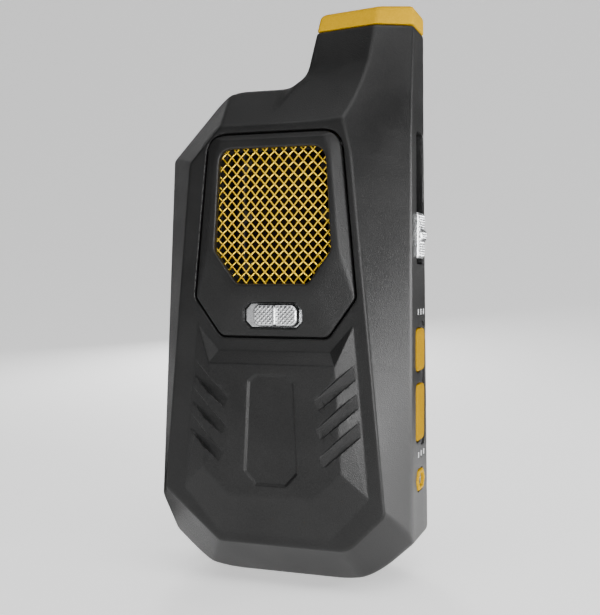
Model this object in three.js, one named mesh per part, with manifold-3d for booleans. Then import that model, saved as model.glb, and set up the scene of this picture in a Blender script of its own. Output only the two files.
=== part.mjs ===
// Handheld outdoor unit with a latched wire-mesh door over a heated mat chamber.
// Millimetres. X runs to the right across the front, Y runs back, Z runs up.
// While the parts are made, Y = 0 is the flat front face of the casing, X = 0 is the
// middle of the door and Z = 0 is the flat foot. The last lines move the whole unit so
// that its origin is the bottom centre of its bounding box.

import * as THREE from 'three';
import { ConvexGeometry } from 'three/addons/geometries/ConvexGeometry.js';
import { mergeVertices } from 'three/addons/utils/BufferGeometryUtils.js';
import Module from 'manifold-3d';

const wasm = await Module();
wasm.setup();

// ---------------------------------------------------------------- driving dimensions

const GAP = 0.3;                    // air between touching pieces
const WALL = 2.2;                   // casing wall

const BODY_TOP = 130;               // shoulder beside the antenna stub
const STUB_TOP = 145.1;             // end of the casing's antenna stub
const CAP_TOP = 150.5;              // top of the coloured cap
const STUB_LEFT = 4.5;              // left side of the stub where it meets the shoulder
const STUB_SLANT = 0.126;           // the stub narrows by this much per mm of height
const SIDE_RIGHT = 32.6;            // right side wall at the shoulder
const SIDE_LEFT = -33.2;            // left side wall at the shoulder
const SIDE_FLARE = 0.6;             // each side wall is this much wider near the foot
const FOOT_FRONT = 14.5;            // where the foot's flat begins, behind the front face
const SEAM_AT_FOOT = 33.4;          // seam between front shell and rear cover, at Z = 0
const SEAM_LEAN = 0.0375;           // the seam comes forward by this much per mm of height
const REAR_COVER_DEPTH = 2.6;

const MESA_HEIGHT = 2.3;            // raised grip panel under the door
const PLATE_DEPTH = 0.5;            // shallow sunk panel in the middle of it

const DOOR_GAP = 0.4;
const DOOR_BACK = 2.4;
const DOOR_FRAME_Y = -1.6;          // the door's raised frame
const WELL_FLOOR = 3.0;
const WELL_BACK = 8.0;
const HINGE_Y = 1.2;
const HINGE_Z = 113.6;
const HINGE_PIN_R = 0.55;
const HINGE_PLAY = 0.25;
const HINGE_PIN_IN = 15.9;           // each pin runs outwards from here
const HINGE_PIN_OUT = 19.6;
const HINGE_SWEEP_R = 3.85;         // room for the door's top edge as it turns
const DOOR_LIP = 0.6;               // the casing's lip in front of that room

const LATCH_TRAVEL = 2.0;
const LATCH_Z = 70.6;
const LATCH_FLOOR = 0.7;              // bottom of the latch's recess in the door

const SLOT_Y = 24.0;                // middle of the side controls, front to back
const SLOT_WIDTH = 8.0;
const SLOT_BOTTOM = 83.8;
const SLOT_TOP = 118.6;
const KNOB_BOTTOM = 85.2;
const KNOB_LENGTH = 12.4;
const KNOB_TRAVEL = 19.5;

const KEY_Y = 23.7;
const KEY_WIDTH = 9.4;
const KEYS = {
  key_upper: { bottom: 55.4, height: 11.3 },
  key_lower: { bottom: 36.8, height: 15.1 },
};
const KEY_TRAVEL = 0.7;

const CELL_RADIUS = 9.2;
const CELL_LENGTH = 65;
const CELL_X = CELL_RADIUS + 0.5;     // each cell stands this far from the middle
const CELL_Y = 20.2;
const CELL_BOTTOM = 8.4;

const CHARGE = { y: 23.0, z: 46.0 };  // middle of the charging socket in the left wall

// Corner points are [x, z] unless a comment says otherwise.
const PLATEAU = [
  [-14.65, 119.2], [12.5, 119.2], [20.5, 110.9], [29.4, 21.2],
  [19.8, 11.45], [-15.1, 11.5], [-30.6, 24.4], [-23.2, 110.0],
];
const DOOR_OUTLINE = [
  [17.75, 116.95], [21.7, 75.05], [14.5, 65.1], [-14.5, 65.1], [-21.7, 75.05], [-17.75, 116.95],
];
const DOOR_OUTLINE_RADII = [6, 3, 3, 3, 3, 6];
const DOOR_FRAME_OUTLINE = [
  [14, 115.4], [15.9, 110.6], [17.8, 87.4], [11.5, 76.5],
  [-11.5, 76.5], [-17.8, 87.4], [-15.9, 110.6], [-14, 115.4],
];
const MESH_OPENING = [
  [14.2, 113.1], [15.75, 87.1], [9.6, 78.65], [-9.6, 78.65], [-15.75, 87.1], [-14.2, 113.1],
];
const MESH_OPENING_RADII = [4, 3, 2, 2, 3, 4];
const LATCH_RECESS = [
  [6.2, 73.9], [7.9, 72.2], [7.9, 69.0], [6.2, 67.3],
  [-6.2, 67.3], [-7.9, 69.0], [-7.9, 72.2], [-6.2, 73.9],
];
const SUNK_PLATE = [
  [4, 55.6], [6.25, 54], [7.3, 30.6], [4.15, 27.1],
  [-4.15, 27.1], [-7.3, 30.6], [-6.25, 54], [-4, 55.6],
];

// ---------------------------------------------------------------- solids

function solid(geometry) {
  const bare = geometry.clone();
  bare.deleteAttribute('normal');
  bare.deleteAttribute('uv');
  const merged = mergeVertices(bare, 1e-4);
  const triVerts = merged.index
    ? Uint32Array.from(merged.index.array)
    : Uint32Array.from(merged.attributes.position.array.keys());
  return new wasm.Manifold(new wasm.Mesh({
    numProp: 3,
    vertProperties: Float32Array.from(merged.attributes.position.array),
    triVerts,
  }));
}

function geometryOf(body) {
  const mesh = body.getMesh();
  const geometry = new THREE.BufferGeometry();
  geometry.setAttribute('position', new THREE.BufferAttribute(new Float32Array(mesh.vertProperties), 3));
  geometry.setIndex(new THREE.BufferAttribute(new Uint32Array(mesh.triVerts), 1));
  geometry.computeVertexNormals();
  return geometry;
}

// A closed shape through the corners, each rounded by its radius.
function roundedShape(corners, radii) {
  const shape = new THREE.Shape();
  const count = corners.length;
  corners.forEach((corner, index) => {
    const here = new THREE.Vector2(...corner);
    const before = new THREE.Vector2(...corners[(index + count - 1) % count]);
    const after = new THREE.Vector2(...corners[(index + 1) % count]);
    const radius = Array.isArray(radii) ? radii[index] : radii;
    const toBefore = before.clone().sub(here).normalize();
    const toAfter = after.clone().sub(here).normalize();
    const halfAngle = Math.acos(THREE.MathUtils.clamp(toBefore.dot(toAfter), -1, 1)) / 2;
    const reach = radius / Math.tan(halfAngle);
    const start = here.clone().addScaledVector(toBefore, reach);
    const end = here.clone().addScaledVector(toAfter, reach);
    if (index === 0) shape.moveTo(start.x, start.y);
    else shape.lineTo(start.x, start.y);
    if (radius > 0) shape.quadraticCurveTo(here.x, here.y, end.x, end.y);
  });
  shape.closePath();
  return shape;
}

// The corners pushed outwards (or inwards, if negative) by the same distance on every side.
function offset(corners, distance) {
  const count = corners.length;
  const area = corners.reduce((sum, [x, z], i) => {
    const [nextX, nextZ] = corners[(i + 1) % count];
    return sum + x * nextZ - nextX * z;
  }, 0);
  const turn = Math.sign(area);
  const normalOf = (a, b) => {
    const along = new THREE.Vector2(b[0] - a[0], b[1] - a[1]).normalize();
    return new THREE.Vector2(along.y, -along.x).multiplyScalar(turn);
  };
  return corners.map((corner, index) => {
    const first = normalOf(corners[(index + count - 1) % count], corner);
    const second = normalOf(corner, corners[(index + 1) % count]);
    const middle = first.clone().add(second).normalize();
    const reach = distance / middle.dot(first);
    return [corner[0] + middle.x * reach, corner[1] + middle.y * reach];
  });
}

// A shape drawn as [x, z], filled from y = front to y = back.
function frontPrism(shape, front, back, curveSegments = 4) {
  const options = { depth: back - front, bevelEnabled: false, curveSegments };
  return solid(new THREE.ExtrudeGeometry(shape, options).rotateX(Math.PI / 2).translate(0, back, 0));
}

// A shape drawn as [y, z], filled from x = left to x = right.
function sidePrism(shape, left, right, curveSegments = 4) {
  const options = { depth: right - left, bevelEnabled: false, curveSegments };
  const turn = new THREE.Matrix4().makeBasis(
    new THREE.Vector3(0, 1, 0), new THREE.Vector3(0, 0, 1), new THREE.Vector3(1, 0, 0));
  return solid(new THREE.ExtrudeGeometry(shape, options).applyMatrix4(turn).translate(left, 0, 0));
}

function box(x0, x1, y0, y1, z0, z1) {
  const geometry = new THREE.BoxGeometry(x1 - x0, y1 - y0, z1 - z0);
  return solid(geometry.translate((x0 + x1) / 2, (y0 + y1) / 2, (z0 + z1) / 2));
}

// Points here are [x, y, z].
function hull(points) {
  return solid(new ConvexGeometry(points.map((point) => new THREE.Vector3(...point))));
}

function rodX(radius, x0, x1, y, z, sides = 12) {
  const geometry = new THREE.CylinderGeometry(radius, radius, x1 - x0, sides).rotateZ(Math.PI / 2);
  return solid(geometry.translate((x0 + x1) / 2, y, z));
}

function rodY(radius, y0, y1, x, z, sides = 12) {
  const geometry = new THREE.CylinderGeometry(radius, radius, y1 - y0, sides);
  return solid(geometry.translate(x, (y0 + y1) / 2, z));
}

function rodZ(radius, z0, z1, x, y, sides = 20) {
  const geometry = new THREE.CylinderGeometry(radius, radius, z1 - z0, sides).rotateX(Math.PI / 2);
  return solid(geometry.translate(x, y, (z0 + z1) / 2));
}

const joined = (bodies) => bodies.reduce((sum, body) => sum.add(body));
const mirroredX = (points) => points.flatMap(([x, y, z]) => [[x, y, z], [-x, y, z]]);
const seamY = (z) => SEAM_AT_FOOT - SEAM_LEAN * z;

// ---------------------------------------------------------------- casing

// The front view of the whole unit. The inset moves every wall inwards.
function casingOutline(top, inset = 0) {
  const stubLeft = STUB_LEFT + (top - BODY_TOP) * STUB_SLANT;
  const corners = [
    [-22.8, 0], [21.5, 0], [SIDE_RIGHT + SIDE_FLARE, 10.5], [SIDE_RIGHT, 118], [SIDE_RIGHT, top],
    [stubLeft, top], [STUB_LEFT, BODY_TOP], [-16.5, BODY_TOP],
    [SIDE_LEFT, 112.5], [SIDE_LEFT - SIDE_FLARE, 9.8],
  ];
  const radii = [6, 7, 7, 0, 0, 0, 4.5, 5, 5, 6];
  return roundedShape(inset ? offset(corners, -inset) : corners, radii);
}

// Everything in front of the seam plane, or behind it, moved back by shift.
function seamSlab(front, shift = 0) {
  const low = -20;
  const high = 170;
  const far = front ? -40 : 90;
  return hull([
    [-60, seamY(low) + shift, low], [60, seamY(low) + shift, low],
    [-60, seamY(high) + shift, high], [60, seamY(high) + shift, high],
    [-60, far, low], [60, far, low], [-60, far, high], [60, far, high],
  ]);
}

// The casing's bevelled front as one convex block, and the antenna stub as another.
function casingBlocks(inset) {
  const side = inset;
  const front = inset * 1.1;
  const plateau = offset(PLATEAU, -side * 0.8).map(([x, z]) => [x, front, z]);
  const right = SIDE_RIGHT - side;
  const left = SIDE_LEFT + side;
  const foot = side;
  const top = BODY_TOP - side;
  const body = hull([
    ...plateau,
    [right, 14 + side * 0.5, 118], [right + SIDE_FLARE, 14 + side * 0.5, 16.5 + side * 0.4],
    [right + SIDE_FLARE, 15 + side * 0.5, 10.5 + side * 0.4],
    [21.5 - side * 0.4, FOOT_FRONT + side * 0.5, foot],
    [-22.8 + side * 0.4, FOOT_FRONT + side * 0.5, foot],
    [left - SIDE_FLARE, 13 + side * 0.5, 9.8 + side * 0.4],
    [left - SIDE_FLARE, 4.5 + side, 22 + side * 0.4], [left, 11 + side * 0.5, 112.5 - side * 0.4],
    [-16.5 + side * 0.4, 10 + side * 0.5, top], [20, 10 + side * 0.5, top],
    [right, 45, top], [-16.5 + side * 0.4, 45, top], [left, 45, 112.5 - side * 0.4],
    [left - SIDE_FLARE, 45, 9.8 + side * 0.4], [-22.8 + side * 0.4, 45, foot],
    [21.5 - side * 0.4, 45, foot], [right + SIDE_FLARE, 45, 10.5 + side * 0.4],
  ]);
  const rise = (CAP_TOP - STUB_TOP) / 34;
  const stub = hull([
    [-10 + side, front, 119.2 - side], [12.5, front, 119.2 - side], [20.5 - side, front, 110.9],
    [-2 + side, 17 + side * 0.5, STUB_TOP], [23.6 - side * 0.5, 11.6 + side, STUB_TOP],
    [-0.4 + side, 18.6 + side * 0.5, CAP_TOP],
    [23.6 - side * 0.5 + 3.1 * rise, 11.6 + side + 11.6 * rise, CAP_TOP],
    [right, 16 + side * 0.5, CAP_TOP], [right, 14 + side * 0.5, 118],
    [-2 + side, 45, CAP_TOP], [right, 45, CAP_TOP], [-10 + side, 45, 112], [right, 45, 112],
  ]);
  return [body, stub];
}

function gripMesa() {
  const crest = -MESA_HEIGHT;
  const inside = 0.6;
  const ring = [[15.15, 0, 61.4], [25.2, 0, 25], [15, 0, 13.9]];
  const top = [[17, crest, 58.2], [18.7, crest, 31], [11.4, crest, 24.3]];
  const sunk = ring.map(([x, , z]) => [x, inside, z]);
  const middle = hull(mirroredX([...ring, ...top, ...sunk]));
  const ear = [
    [21.2, 0, 68.3], [15.15, 0, 61.4], [25.2, 0, 25], [17, crest, 58.2], [18.7, crest, 31],
    [21.2, inside, 68.3], [15.15, inside, 61.4], [25.2, inside, 25], [10, crest, 40], [10, inside, 40],
  ];
  const leftEar = ear.map(([x, y, z]) => [-x, y, z]);
  return joined([middle, hull(ear), hull(leftEar)]);
}

// Three slashes each side: a flat floor falls from the mesa's top to its foot line.
function gripSlashes() {
  const cuts = [];
  for (const side of [-1, 1]) {
    for (let row = 0; row < 3; row += 1) {
      const shift = 0.65 * row;
      const drop = -7.1 * row;
      const line = (x, y, z) => [side * (x + shift), y, z + drop];
      cuts.push(hull([
        line(11.6, -MESA_HEIGHT, 49.3), line(12.8, -MESA_HEIGHT, 46.8),
        line(22.2, -0.1, 59.0), line(22.4, -0.1, 55.2),
        line(26, -0.02, 62.2), line(26, -0.02, 58.3),
        line(11.2, -6, 50.2), line(12.6, -6, 46.0), line(26, -6, 63.2), line(26, -6, 57.4),
      ]));
    }
  }
  return joined(cuts);
}

const sideRect = (y0, y1, z0, z1, radius) =>
  roundedShape([[y0, z0], [y1, z0], [y1, z1], [y0, z1]], radius);

const keyShape = ({ bottom, height }, grow) => sideRect(
  KEY_Y - KEY_WIDTH / 2 - grow, KEY_Y + KEY_WIDTH / 2 + grow,
  bottom - grow, bottom + height + grow, 1.6 + grow);

const SLIT_HEIGHTS = { upper: 71.1, lower: 33.0 };
const SLIT_YS = [22.0, 25.2, 28.4];
const EYELET = { y: 23.6, z: 26.2, half: 4.3, rise: 2.7 };

const eyeletShape = (shrink) => {
  const { y, z, half, rise } = EYELET;
  const a = half - shrink;
  const b = rise - shrink;
  return roundedShape(
    [[y - a, z], [y - a * 0.6, z - b], [y + a * 0.6, z - b], [y + a, z], [y + a * 0.6, z + b], [y - a * 0.6, z + b]],
    0);
};

// Screw posts stand behind the front wall, at [x, z].
const SCREW_SEAT = 1.6;               // screw head's seat, behind the end of its post
const SCREW_POSTS = [[-27.6, 16], [26.4, 16], [-27.4, 104], [24.5, 126.5]];
const postBack = (z) => seamY(z) - 1.2;

function frontShell() {
  const [body, stub] = casingBlocks(0);
  const outline = frontPrism(casingOutline(STUB_TOP), -5, 60, 5);
  const block = body.add(stub).intersect(outline).intersect(seamSlab(true));
  let shell = block;

  const [innerBody, innerStub] = casingBlocks(WALL);
  const innerOutline = frontPrism(casingOutline(STUB_TOP + 8, WALL), -5, 60, 3);
  const ceiling = box(-60, 60, -10, 90, -5, STUB_TOP - 1.6);
  shell = shell.subtract(innerBody.add(innerStub).intersect(innerOutline).intersect(ceiling));

  shell = shell.add(gripMesa()).subtract(gripSlashes());
  shell = shell.subtract(frontPrism(roundedShape(SUNK_PLATE, 0), -MESA_HEIGHT - 1, -MESA_HEIGHT + PLATE_DEPTH));

  // The door's well, its floor with the chamber's mouth, and room for the door's turning edge.
  const wellOutline = offset(DOOR_OUTLINE, DOOR_GAP + 2);
  shell = shell.add(frontPrism(roundedShape(wellOutline, DOOR_OUTLINE_RADII), 1.2, WELL_BACK, 3));
  const doorway = roundedShape(offset(DOOR_OUTLINE, DOOR_GAP), DOOR_OUTLINE_RADII);
  shell = shell.subtract(frontPrism(doorway, -6, WELL_FLOOR, 4));
  shell = shell.subtract(frontPrism(
    roundedShape([[-16.4, 77.4], [16.4, 77.4], [16.4, 115.2], [-16.4, 115.2]], 2), WELL_FLOOR - 1, WELL_BACK + 1));
  const sweep = rodX(HINGE_SWEEP_R, -18.4, 18.4, HINGE_Y, HINGE_Z, 24);
  shell = shell.subtract(sweep.intersect(box(-20, 20, DOOR_LIP, 20, 100, 130)));
  shell = shell.subtract(rodX(HINGE_PIN_R + HINGE_PLAY, -20, 20, HINGE_Y, HINGE_Z, 10));
  // A slot in the well's floor for the latch's hook.
  shell = shell.subtract(box(-7.2, 3.6, WELL_FLOOR - 1, 6.4, 68.4, 73.2));

  for (const [x, z] of SCREW_POSTS) {
    shell = shell.add(rodY(2.6, 0, postBack(z), x, z, 10).intersect(block));
    shell = shell.subtract(rodY(1.25, 20, postBack(z) + 2, x, z, 8));
  }

  // Openings in the right side wall.
  const through = [
    sideRect(SLOT_Y - SLOT_WIDTH / 2, SLOT_Y + SLOT_WIDTH / 2, SLOT_BOTTOM, SLOT_TOP, 1.5),
    ...Object.values(KEYS).map((key) => keyShape(key, GAP)),
    eyeletShape(-GAP),
  ];
  for (const z of Object.values(SLIT_HEIGHTS)) {
    for (const y of SLIT_YS) through.push(sideRect(y - 0.45, y + 0.45, z - 0.85, z + 0.85, 0.2));
  }
  for (const shape of through) shell = shell.subtract(sidePrism(shape, 29, 36, 2));
  // The charging socket's opening in the left side wall.
  const { y, z } = CHARGE;
  shell = shell.subtract(sidePrism(sideRect(y - 1.9, y + 1.9, z - 4.9, z + 4.9, 1.8), -36, -29, 2));
  return shell;
}

function rearCover() {
  const bevel = 2.2;
  const shrunk = casingOutline(STUB_TOP, bevel);
  const options = {
    depth: 20, bevelEnabled: true, bevelThickness: bevel, bevelSize: bevel, bevelSegments: 1, curveSegments: 3,
  };
  const lean = Math.atan(SEAM_LEAN);
  const plate = new THREE.ExtrudeGeometry(shrunk, options);
  plate.rotateX(Math.PI / 2).translate(0, REAR_COVER_DEPTH - bevel, 0).rotateX(lean);
  plate.translate(0, SEAM_AT_FOOT, 0);
  let cover = solid(plate).intersect(seamSlab(false, GAP));
  // A lip that stands inside the front shell's wall.
  const lipOuter = frontPrism(casingOutline(STUB_TOP - 2.6, WALL + 0.5), 20, 60, 2);
  const lipInner = frontPrism(casingOutline(STUB_TOP - 3.8, WALL + 1.7), 20, 60, 2);
  const lip = lipOuter.subtract(lipInner).intersect(seamSlab(false, -1.0)).intersect(seamSlab(true, GAP + 0.6));
  cover = cover.add(lip);
  for (const [x, z] of SCREW_POSTS) {
    const back = postBack(z);
    cover = cover.subtract(rodY(3.4, back - 3, back + GAP, x, z, 12));
    cover = cover.add(rodY(3.1, back + GAP, back + 2.2, x, z, 12));
    cover = cover.subtract(rodY(1.3, back - 1, back + 6, x, z, 8));
    cover = cover.subtract(rodY(2.8, back + SCREW_SEAT, back + 6, x, z, 12));
  }
  return cover;
}

function screw(x, z) {
  const seat = postBack(z) + SCREW_SEAT + GAP;
  const head = rodY(2.5, seat, seat + 1.3, x, z, 12);
  const shank = rodY(0.95, seat - 8, seat + 0.2, x, z, 8);
  const cross = joined([
    box(x - 1.4, x + 1.4, seat + 0.6, seat + 2, z - 0.3, z + 0.3),
    box(x - 0.3, x + 0.3, seat + 0.6, seat + 2, z - 1.4, z + 1.4),
  ]);
  return head.add(shank).subtract(cross);
}

function antennaCap() {
  const [body, stub] = casingBlocks(0);
  const outline = frontPrism(casingOutline(CAP_TOP), -5, 60, 3);
  const band = box(-60, 60, -10, 90, STUB_TOP + GAP, CAP_TOP);
  let cap = body.add(stub).intersect(outline).intersect(band);
  // The cap's back follows the rear cover's outer face.
  cap = cap.intersect(seamSlab(true, 1.4));
  return cap;
}

// ---------------------------------------------------------------- door

function doorFrame() {
  const outer = roundedShape(DOOR_OUTLINE, DOOR_OUTLINE_RADII).getPoints(4);
  const face = roundedShape(DOOR_FRAME_OUTLINE, [2, 2, 3, 1, 1, 3, 2, 2]).getPoints(2);
  let door = hull([
    ...outer.map((p) => [p.x, 0, p.y]), ...outer.map((p) => [p.x, DOOR_BACK, p.y]),
    ...face.map((p) => [p.x, DOOR_FRAME_Y, p.y]),
  ]);
  door = door.subtract(frontPrism(roundedShape(MESH_OPENING, MESH_OPENING_RADII), -6, 6, 3));
  const rebate = roundedShape(offset(MESH_OPENING, 1.4), MESH_OPENING_RADII);
  door = door.subtract(frontPrism(rebate, 0.2, 6, 3));
  // The latch's recess, and the slot through which its stem reaches the hook.
  door = door.subtract(frontPrism(roundedShape(LATCH_RECESS, 0), -6, LATCH_FLOOR));
  door = door.subtract(box(-5.2, 2.8, LATCH_FLOOR - 1, 6, LATCH_Z - 1.3, LATCH_Z + 1.3));
  for (const side of [-1, 1]) {
    const x0 = side > 0 ? HINGE_PIN_IN - GAP : -HINGE_PIN_OUT;
    const x1 = side > 0 ? HINGE_PIN_OUT : -HINGE_PIN_IN + GAP;
    door = door.subtract(rodX(HINGE_PIN_R + HINGE_PLAY, x0, x1, HINGE_Y, HINGE_Z, 10));
  }
  return door;
}

function meshGrille() {
  const pitch = 4.2;
  const hole = 1.45;
  const inner = offset(MESH_OPENING, -0.8);
  const plate = roundedShape(offset(MESH_OPENING, 1.1), MESH_OPENING_RADII);
  const inside = (x, z) => inner.every((corner, i) => {
    const [ax, az] = corner;
    const [bx, bz] = inner[(i + 1) % inner.length];
    return (bx - ax) * (z - az) - (bz - az) * (x - ax) < 0;
  });
  for (let row = -12; row <= 12; row += 1) {
    for (let column = -8; column <= 8; column += 1) {
      const x = (column + (row % 2 ? 0.5 : 0)) * pitch;
      const z = 96 + row * pitch * 0.53;
      const diamond = [[x + hole, z], [x, z + hole * 1.05], [x - hole, z], [x, z - hole * 1.05]];
      if (diamond.every(([px, pz]) => inside(px, pz))) plate.holes.push(roundedShape(diamond, 0));
    }
  }
  return frontPrism(plate, 0.5, 1.1, 2);
}

function meshRetainer() {
  const outer = frontPrism(roundedShape(offset(MESH_OPENING, 1.1), MESH_OPENING_RADII), 1.4, DOOR_BACK, 2);
  return outer.subtract(frontPrism(roundedShape(offset(MESH_OPENING, -0.6), MESH_OPENING_RADII), 0, 5, 2));
}

function latchButton() {
  const top = 3.0;
  const length = 6.3;
  const face = -1.9;
  const cap = hull(mirroredX([
    [length, 0.4, LATCH_Z + top - 1.2], [length, 0.4, LATCH_Z - top + 1.2],
    [length - 1.2, 0.4, LATCH_Z + top], [length - 1.2, 0.4, LATCH_Z - top],
    [length - 1.6, face + 0.5, LATCH_Z + top - 1.4], [length - 1.6, face - 0.1, LATCH_Z - top + 1.2],
  ])).translate([0.9, 0, 0]);
  const ridge = box(0.5, 1.3, face - 0.6, 0.3, LATCH_Z - 2.4, LATCH_Z + 2.2);
  const stem = box(-1.6, 2.4, 0.2, DOOR_BACK + GAP + 0.2, LATCH_Z - 0.9, LATCH_Z + 0.9);
  return joined([cap, ridge, stem]);
}

// The hook's toe ends just beside the strike bar, so the door is free to swing.
function latchHook() {
  const plate = box(-4.6, 3.0, DOOR_BACK + GAP + 0.4, DOOR_BACK + GAP + 1.4, LATCH_Z - 1.8, LATCH_Z + 1.8);
  const arm = box(-4.6, -3.4, DOOR_BACK + GAP + 1.0, 6.0, LATCH_Z - 1.8, LATCH_Z + 1.8);
  return plate.add(arm);
}

// ---------------------------------------------------------------- heater

function heaterTray() {
  const outer = box(-18.4, 18.4, WELL_BACK + GAP, 15.6, 76.2, 117.2);
  const inner = box(-16.4, 16.4, WELL_BACK - 1, 14.4, 78.2, 115.2);
  const cableHole = box(-3, 3, 12, 18, 77, 79.5);
  return outer.subtract(inner).subtract(cableHole);
}

const MAT_BOTTOM = 79.2;
const MAT_TOP = 114.0;

function matClip(side) {
  const foot = box(11.6, 15.6, 13.0, 14.1, MAT_BOTTOM, MAT_TOP);
  const rail = box(11.6, 12.6, 9.4, 13.4, MAT_BOTTOM, MAT_TOP);
  const fingers = [83, 96.5, 110].map((z) => box(9.6, 12.2, 9.4, 10.0, z - 1.6, z + 1.6));
  const clip = joined([foot, rail, ...fingers]);
  return side > 0 ? clip : clip.mirror([1, 0, 0]);
}

// ---------------------------------------------------------------- right-hand controls

function sideKey(key) {
  const outer = sidePrism(keyShape(key, 0), 29.6, SIDE_RIGHT + 0.5, 3);
  const crown = sidePrism(keyShape(key, -0.7), SIDE_RIGHT + 0.4, SIDE_RIGHT + 0.8, 3);
  const flange = sidePrism(keyShape(key, 1.0), 28.9, 29.7, 2);
  const middle = key.bottom + key.height / 2;
  const post = rodX(1.4, 28.4, 29.2, KEY_Y, middle, 10);
  return joined([outer, crown, flange, post]);
}

function tactSwitch(key) {
  const middle = key.bottom + key.height / 2;
  const body = box(26.1, 27.0, KEY_Y - 2.6, KEY_Y + 2.6, middle - 2.6, middle + 2.6);
  return body.add(rodX(1.3, 26.8, 27.3, KEY_Y, middle, 10));
}

function lightGuide(z) {
  const fingers = SLIT_YS.map((y) => box(28.8, SIDE_RIGHT - 0.1, y - 0.3, y + 0.3, z - 0.65, z + 0.65));
  const bar = box(27.6, 28.9, SLIT_YS[0] - 0.9, SLIT_YS[2] + 0.9, z - 1.0, z + 1.0);
  return joined([bar, ...fingers]);
}

function slideKnob() {
  const z0 = KNOB_BOTTOM;
  const z1 = KNOB_BOTTOM + KNOB_LENGTH;
  const half = SLOT_WIDTH / 2 - GAP;
  const block = hull([
    [30.9, SLOT_Y - half, z0], [30.9, SLOT_Y + half, z0], [30.9, SLOT_Y - half, z1], [30.9, SLOT_Y + half, z1],
    [33.1, SLOT_Y - half, z0 + 0.2], [33.1, SLOT_Y + half, z0 + 0.2],
    [33.1, SLOT_Y - half, z1 - 0.2], [33.1, SLOT_Y + half, z1 - 0.2],
    [33.7, SLOT_Y - half + 0.7, z0 + 1.4], [33.7, SLOT_Y + half - 0.7, z0 + 1.4],
    [33.7, SLOT_Y - half + 0.7, z1 - 1.4], [33.7, SLOT_Y + half - 0.7, z1 - 1.4],
  ]);
  const middle = (z0 + z1) / 2;
  const bump = hull([
    [33.4, SLOT_Y - 3, middle - 1.6], [33.4, SLOT_Y + 3, middle - 1.6],
    [33.4, SLOT_Y - 3, middle + 1.6], [33.4, SLOT_Y + 3, middle + 1.6],
    [34.4, SLOT_Y - 2.6, middle - 0.5], [34.4, SLOT_Y + 2.6, middle - 0.5],
    [34.4, SLOT_Y - 2.6, middle + 0.5], [34.4, SLOT_Y + 2.6, middle + 0.5],
  ]);
  const stem = box(29.0, 31.1, SLOT_Y - 1.2, SLOT_Y + 1.2, z0 + 3, z1 - 3);
  return joined([block, bump, stem]);
}

function slideCarrier() {
  const z0 = KNOB_BOTTOM;
  return box(27.3, 28.7, SLOT_Y - 2.6, SLOT_Y + 2.6, z0 + 1.5, z0 + KNOB_LENGTH - 1.5);
}

function slotLiner() {
  const outer = box(29.3, 30.0, SLOT_Y - 4.3, SLOT_Y + 3.5, SLOT_BOTTOM - 1, SLOT_TOP + 1);
  const low = KNOB_BOTTOM + 3 - GAP;
  const high = KNOB_BOTTOM + KNOB_LENGTH - 3 + KNOB_TRAVEL + GAP;
  return outer.subtract(box(28, 32, SLOT_Y - 1.5, SLOT_Y + 1.5, low, high));
}

function slideSwitch() {
  return box(23.4, 27.0, SLOT_Y - 3.4, SLOT_Y + 3.4, 92, 112);
}

function lanyardBezel() {
  const rim = sidePrism(eyeletShape(0), 27.6, SIDE_RIGHT + 0.9, 1);
  return rim.subtract(sidePrism(eyeletShape(1.05), 28.8, 36, 1));
}

function lanyardBar() {
  const { y, z, rise } = EYELET;
  return rodZ(0.55, z - rise + 1.35, z + rise - 1.35, 31.2, y, 10);
}

// ---------------------------------------------------------------- power and electronics

function batteryCell(x) {
  const can = rodZ(CELL_RADIUS, CELL_BOTTOM, CELL_BOTTOM + CELL_LENGTH, x, CELL_Y, 20);
  return can.add(rodZ(2.8, CELL_BOTTOM + CELL_LENGTH - 0.2, CELL_BOTTOM + CELL_LENGTH + 0.8, x, CELL_Y, 12));
}

// An open cradle in front of and between the cells.
function batteryCradle() {
  const z0 = CELL_BOTTOM - 1.4;
  const z1 = CELL_BOTTOM + CELL_LENGTH + 2.2;
  const back = CELL_Y + 4;
  let cradle = box(-20.4, 20.4, CELL_Y - 9.9, back, z0 + 0.3, z1);
  for (const x of [-CELL_X, CELL_X]) {
    cradle = cradle.subtract(rodZ(CELL_RADIUS + GAP, z0 + 1.1, z1 - 1.1, x, CELL_Y, 20));
    cradle = cradle.subtract(box(x - CELL_RADIUS - GAP, x + CELL_RADIUS + GAP, CELL_Y, back + 5, z0 + 1.1, z1 - 1.1));
  }
  return cradle;
}

function mainBoard() {
  const board = box(-24, 22, 17.2, 18.8, 80, 117);
  return board.subtract(rodY(1.6, 15, 20, -20.5, 113.5, 10)).subtract(rodY(1.6, 15, 20, 18.5, 83.5, 10));
}

function boardParts() {
  return [
    ['control_chip', box(-6, 6, 19.1, 20.3, 92, 104)],
    ['inductor', box(-18, -10, 19.1, 23.0, 86, 94)],
    ['capacitor', rodY(3.1, 19.1, 25.0, 12, 90, 12)],
  ];
}

function chargeSocket() {
  const { y, z } = CHARGE;
  const shell = sidePrism(sideRect(y - 1.6, y + 1.6, z - 4.5, z + 4.5, 1.5), -33.0, -25.6, 3);
  const hollow = sidePrism(sideRect(y - 1.25, y + 1.25, z - 4.15, z + 4.15, 1.2), -34, -27.4, 3);
  const tongue = sidePrism(sideRect(y - 0.35, y + 0.35, z - 3.3, z + 3.3, 0), -32.0, -27.0, 1);
  return shell.subtract(hollow).add(tongue);
}

function chargeBoard() {
  const { y, z } = CHARGE;
  return box(-30.4, -24.0, y + 1.9, y + 3.1, z - 9, z + 9);
}

// ---------------------------------------------------------------- scene graph

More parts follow.
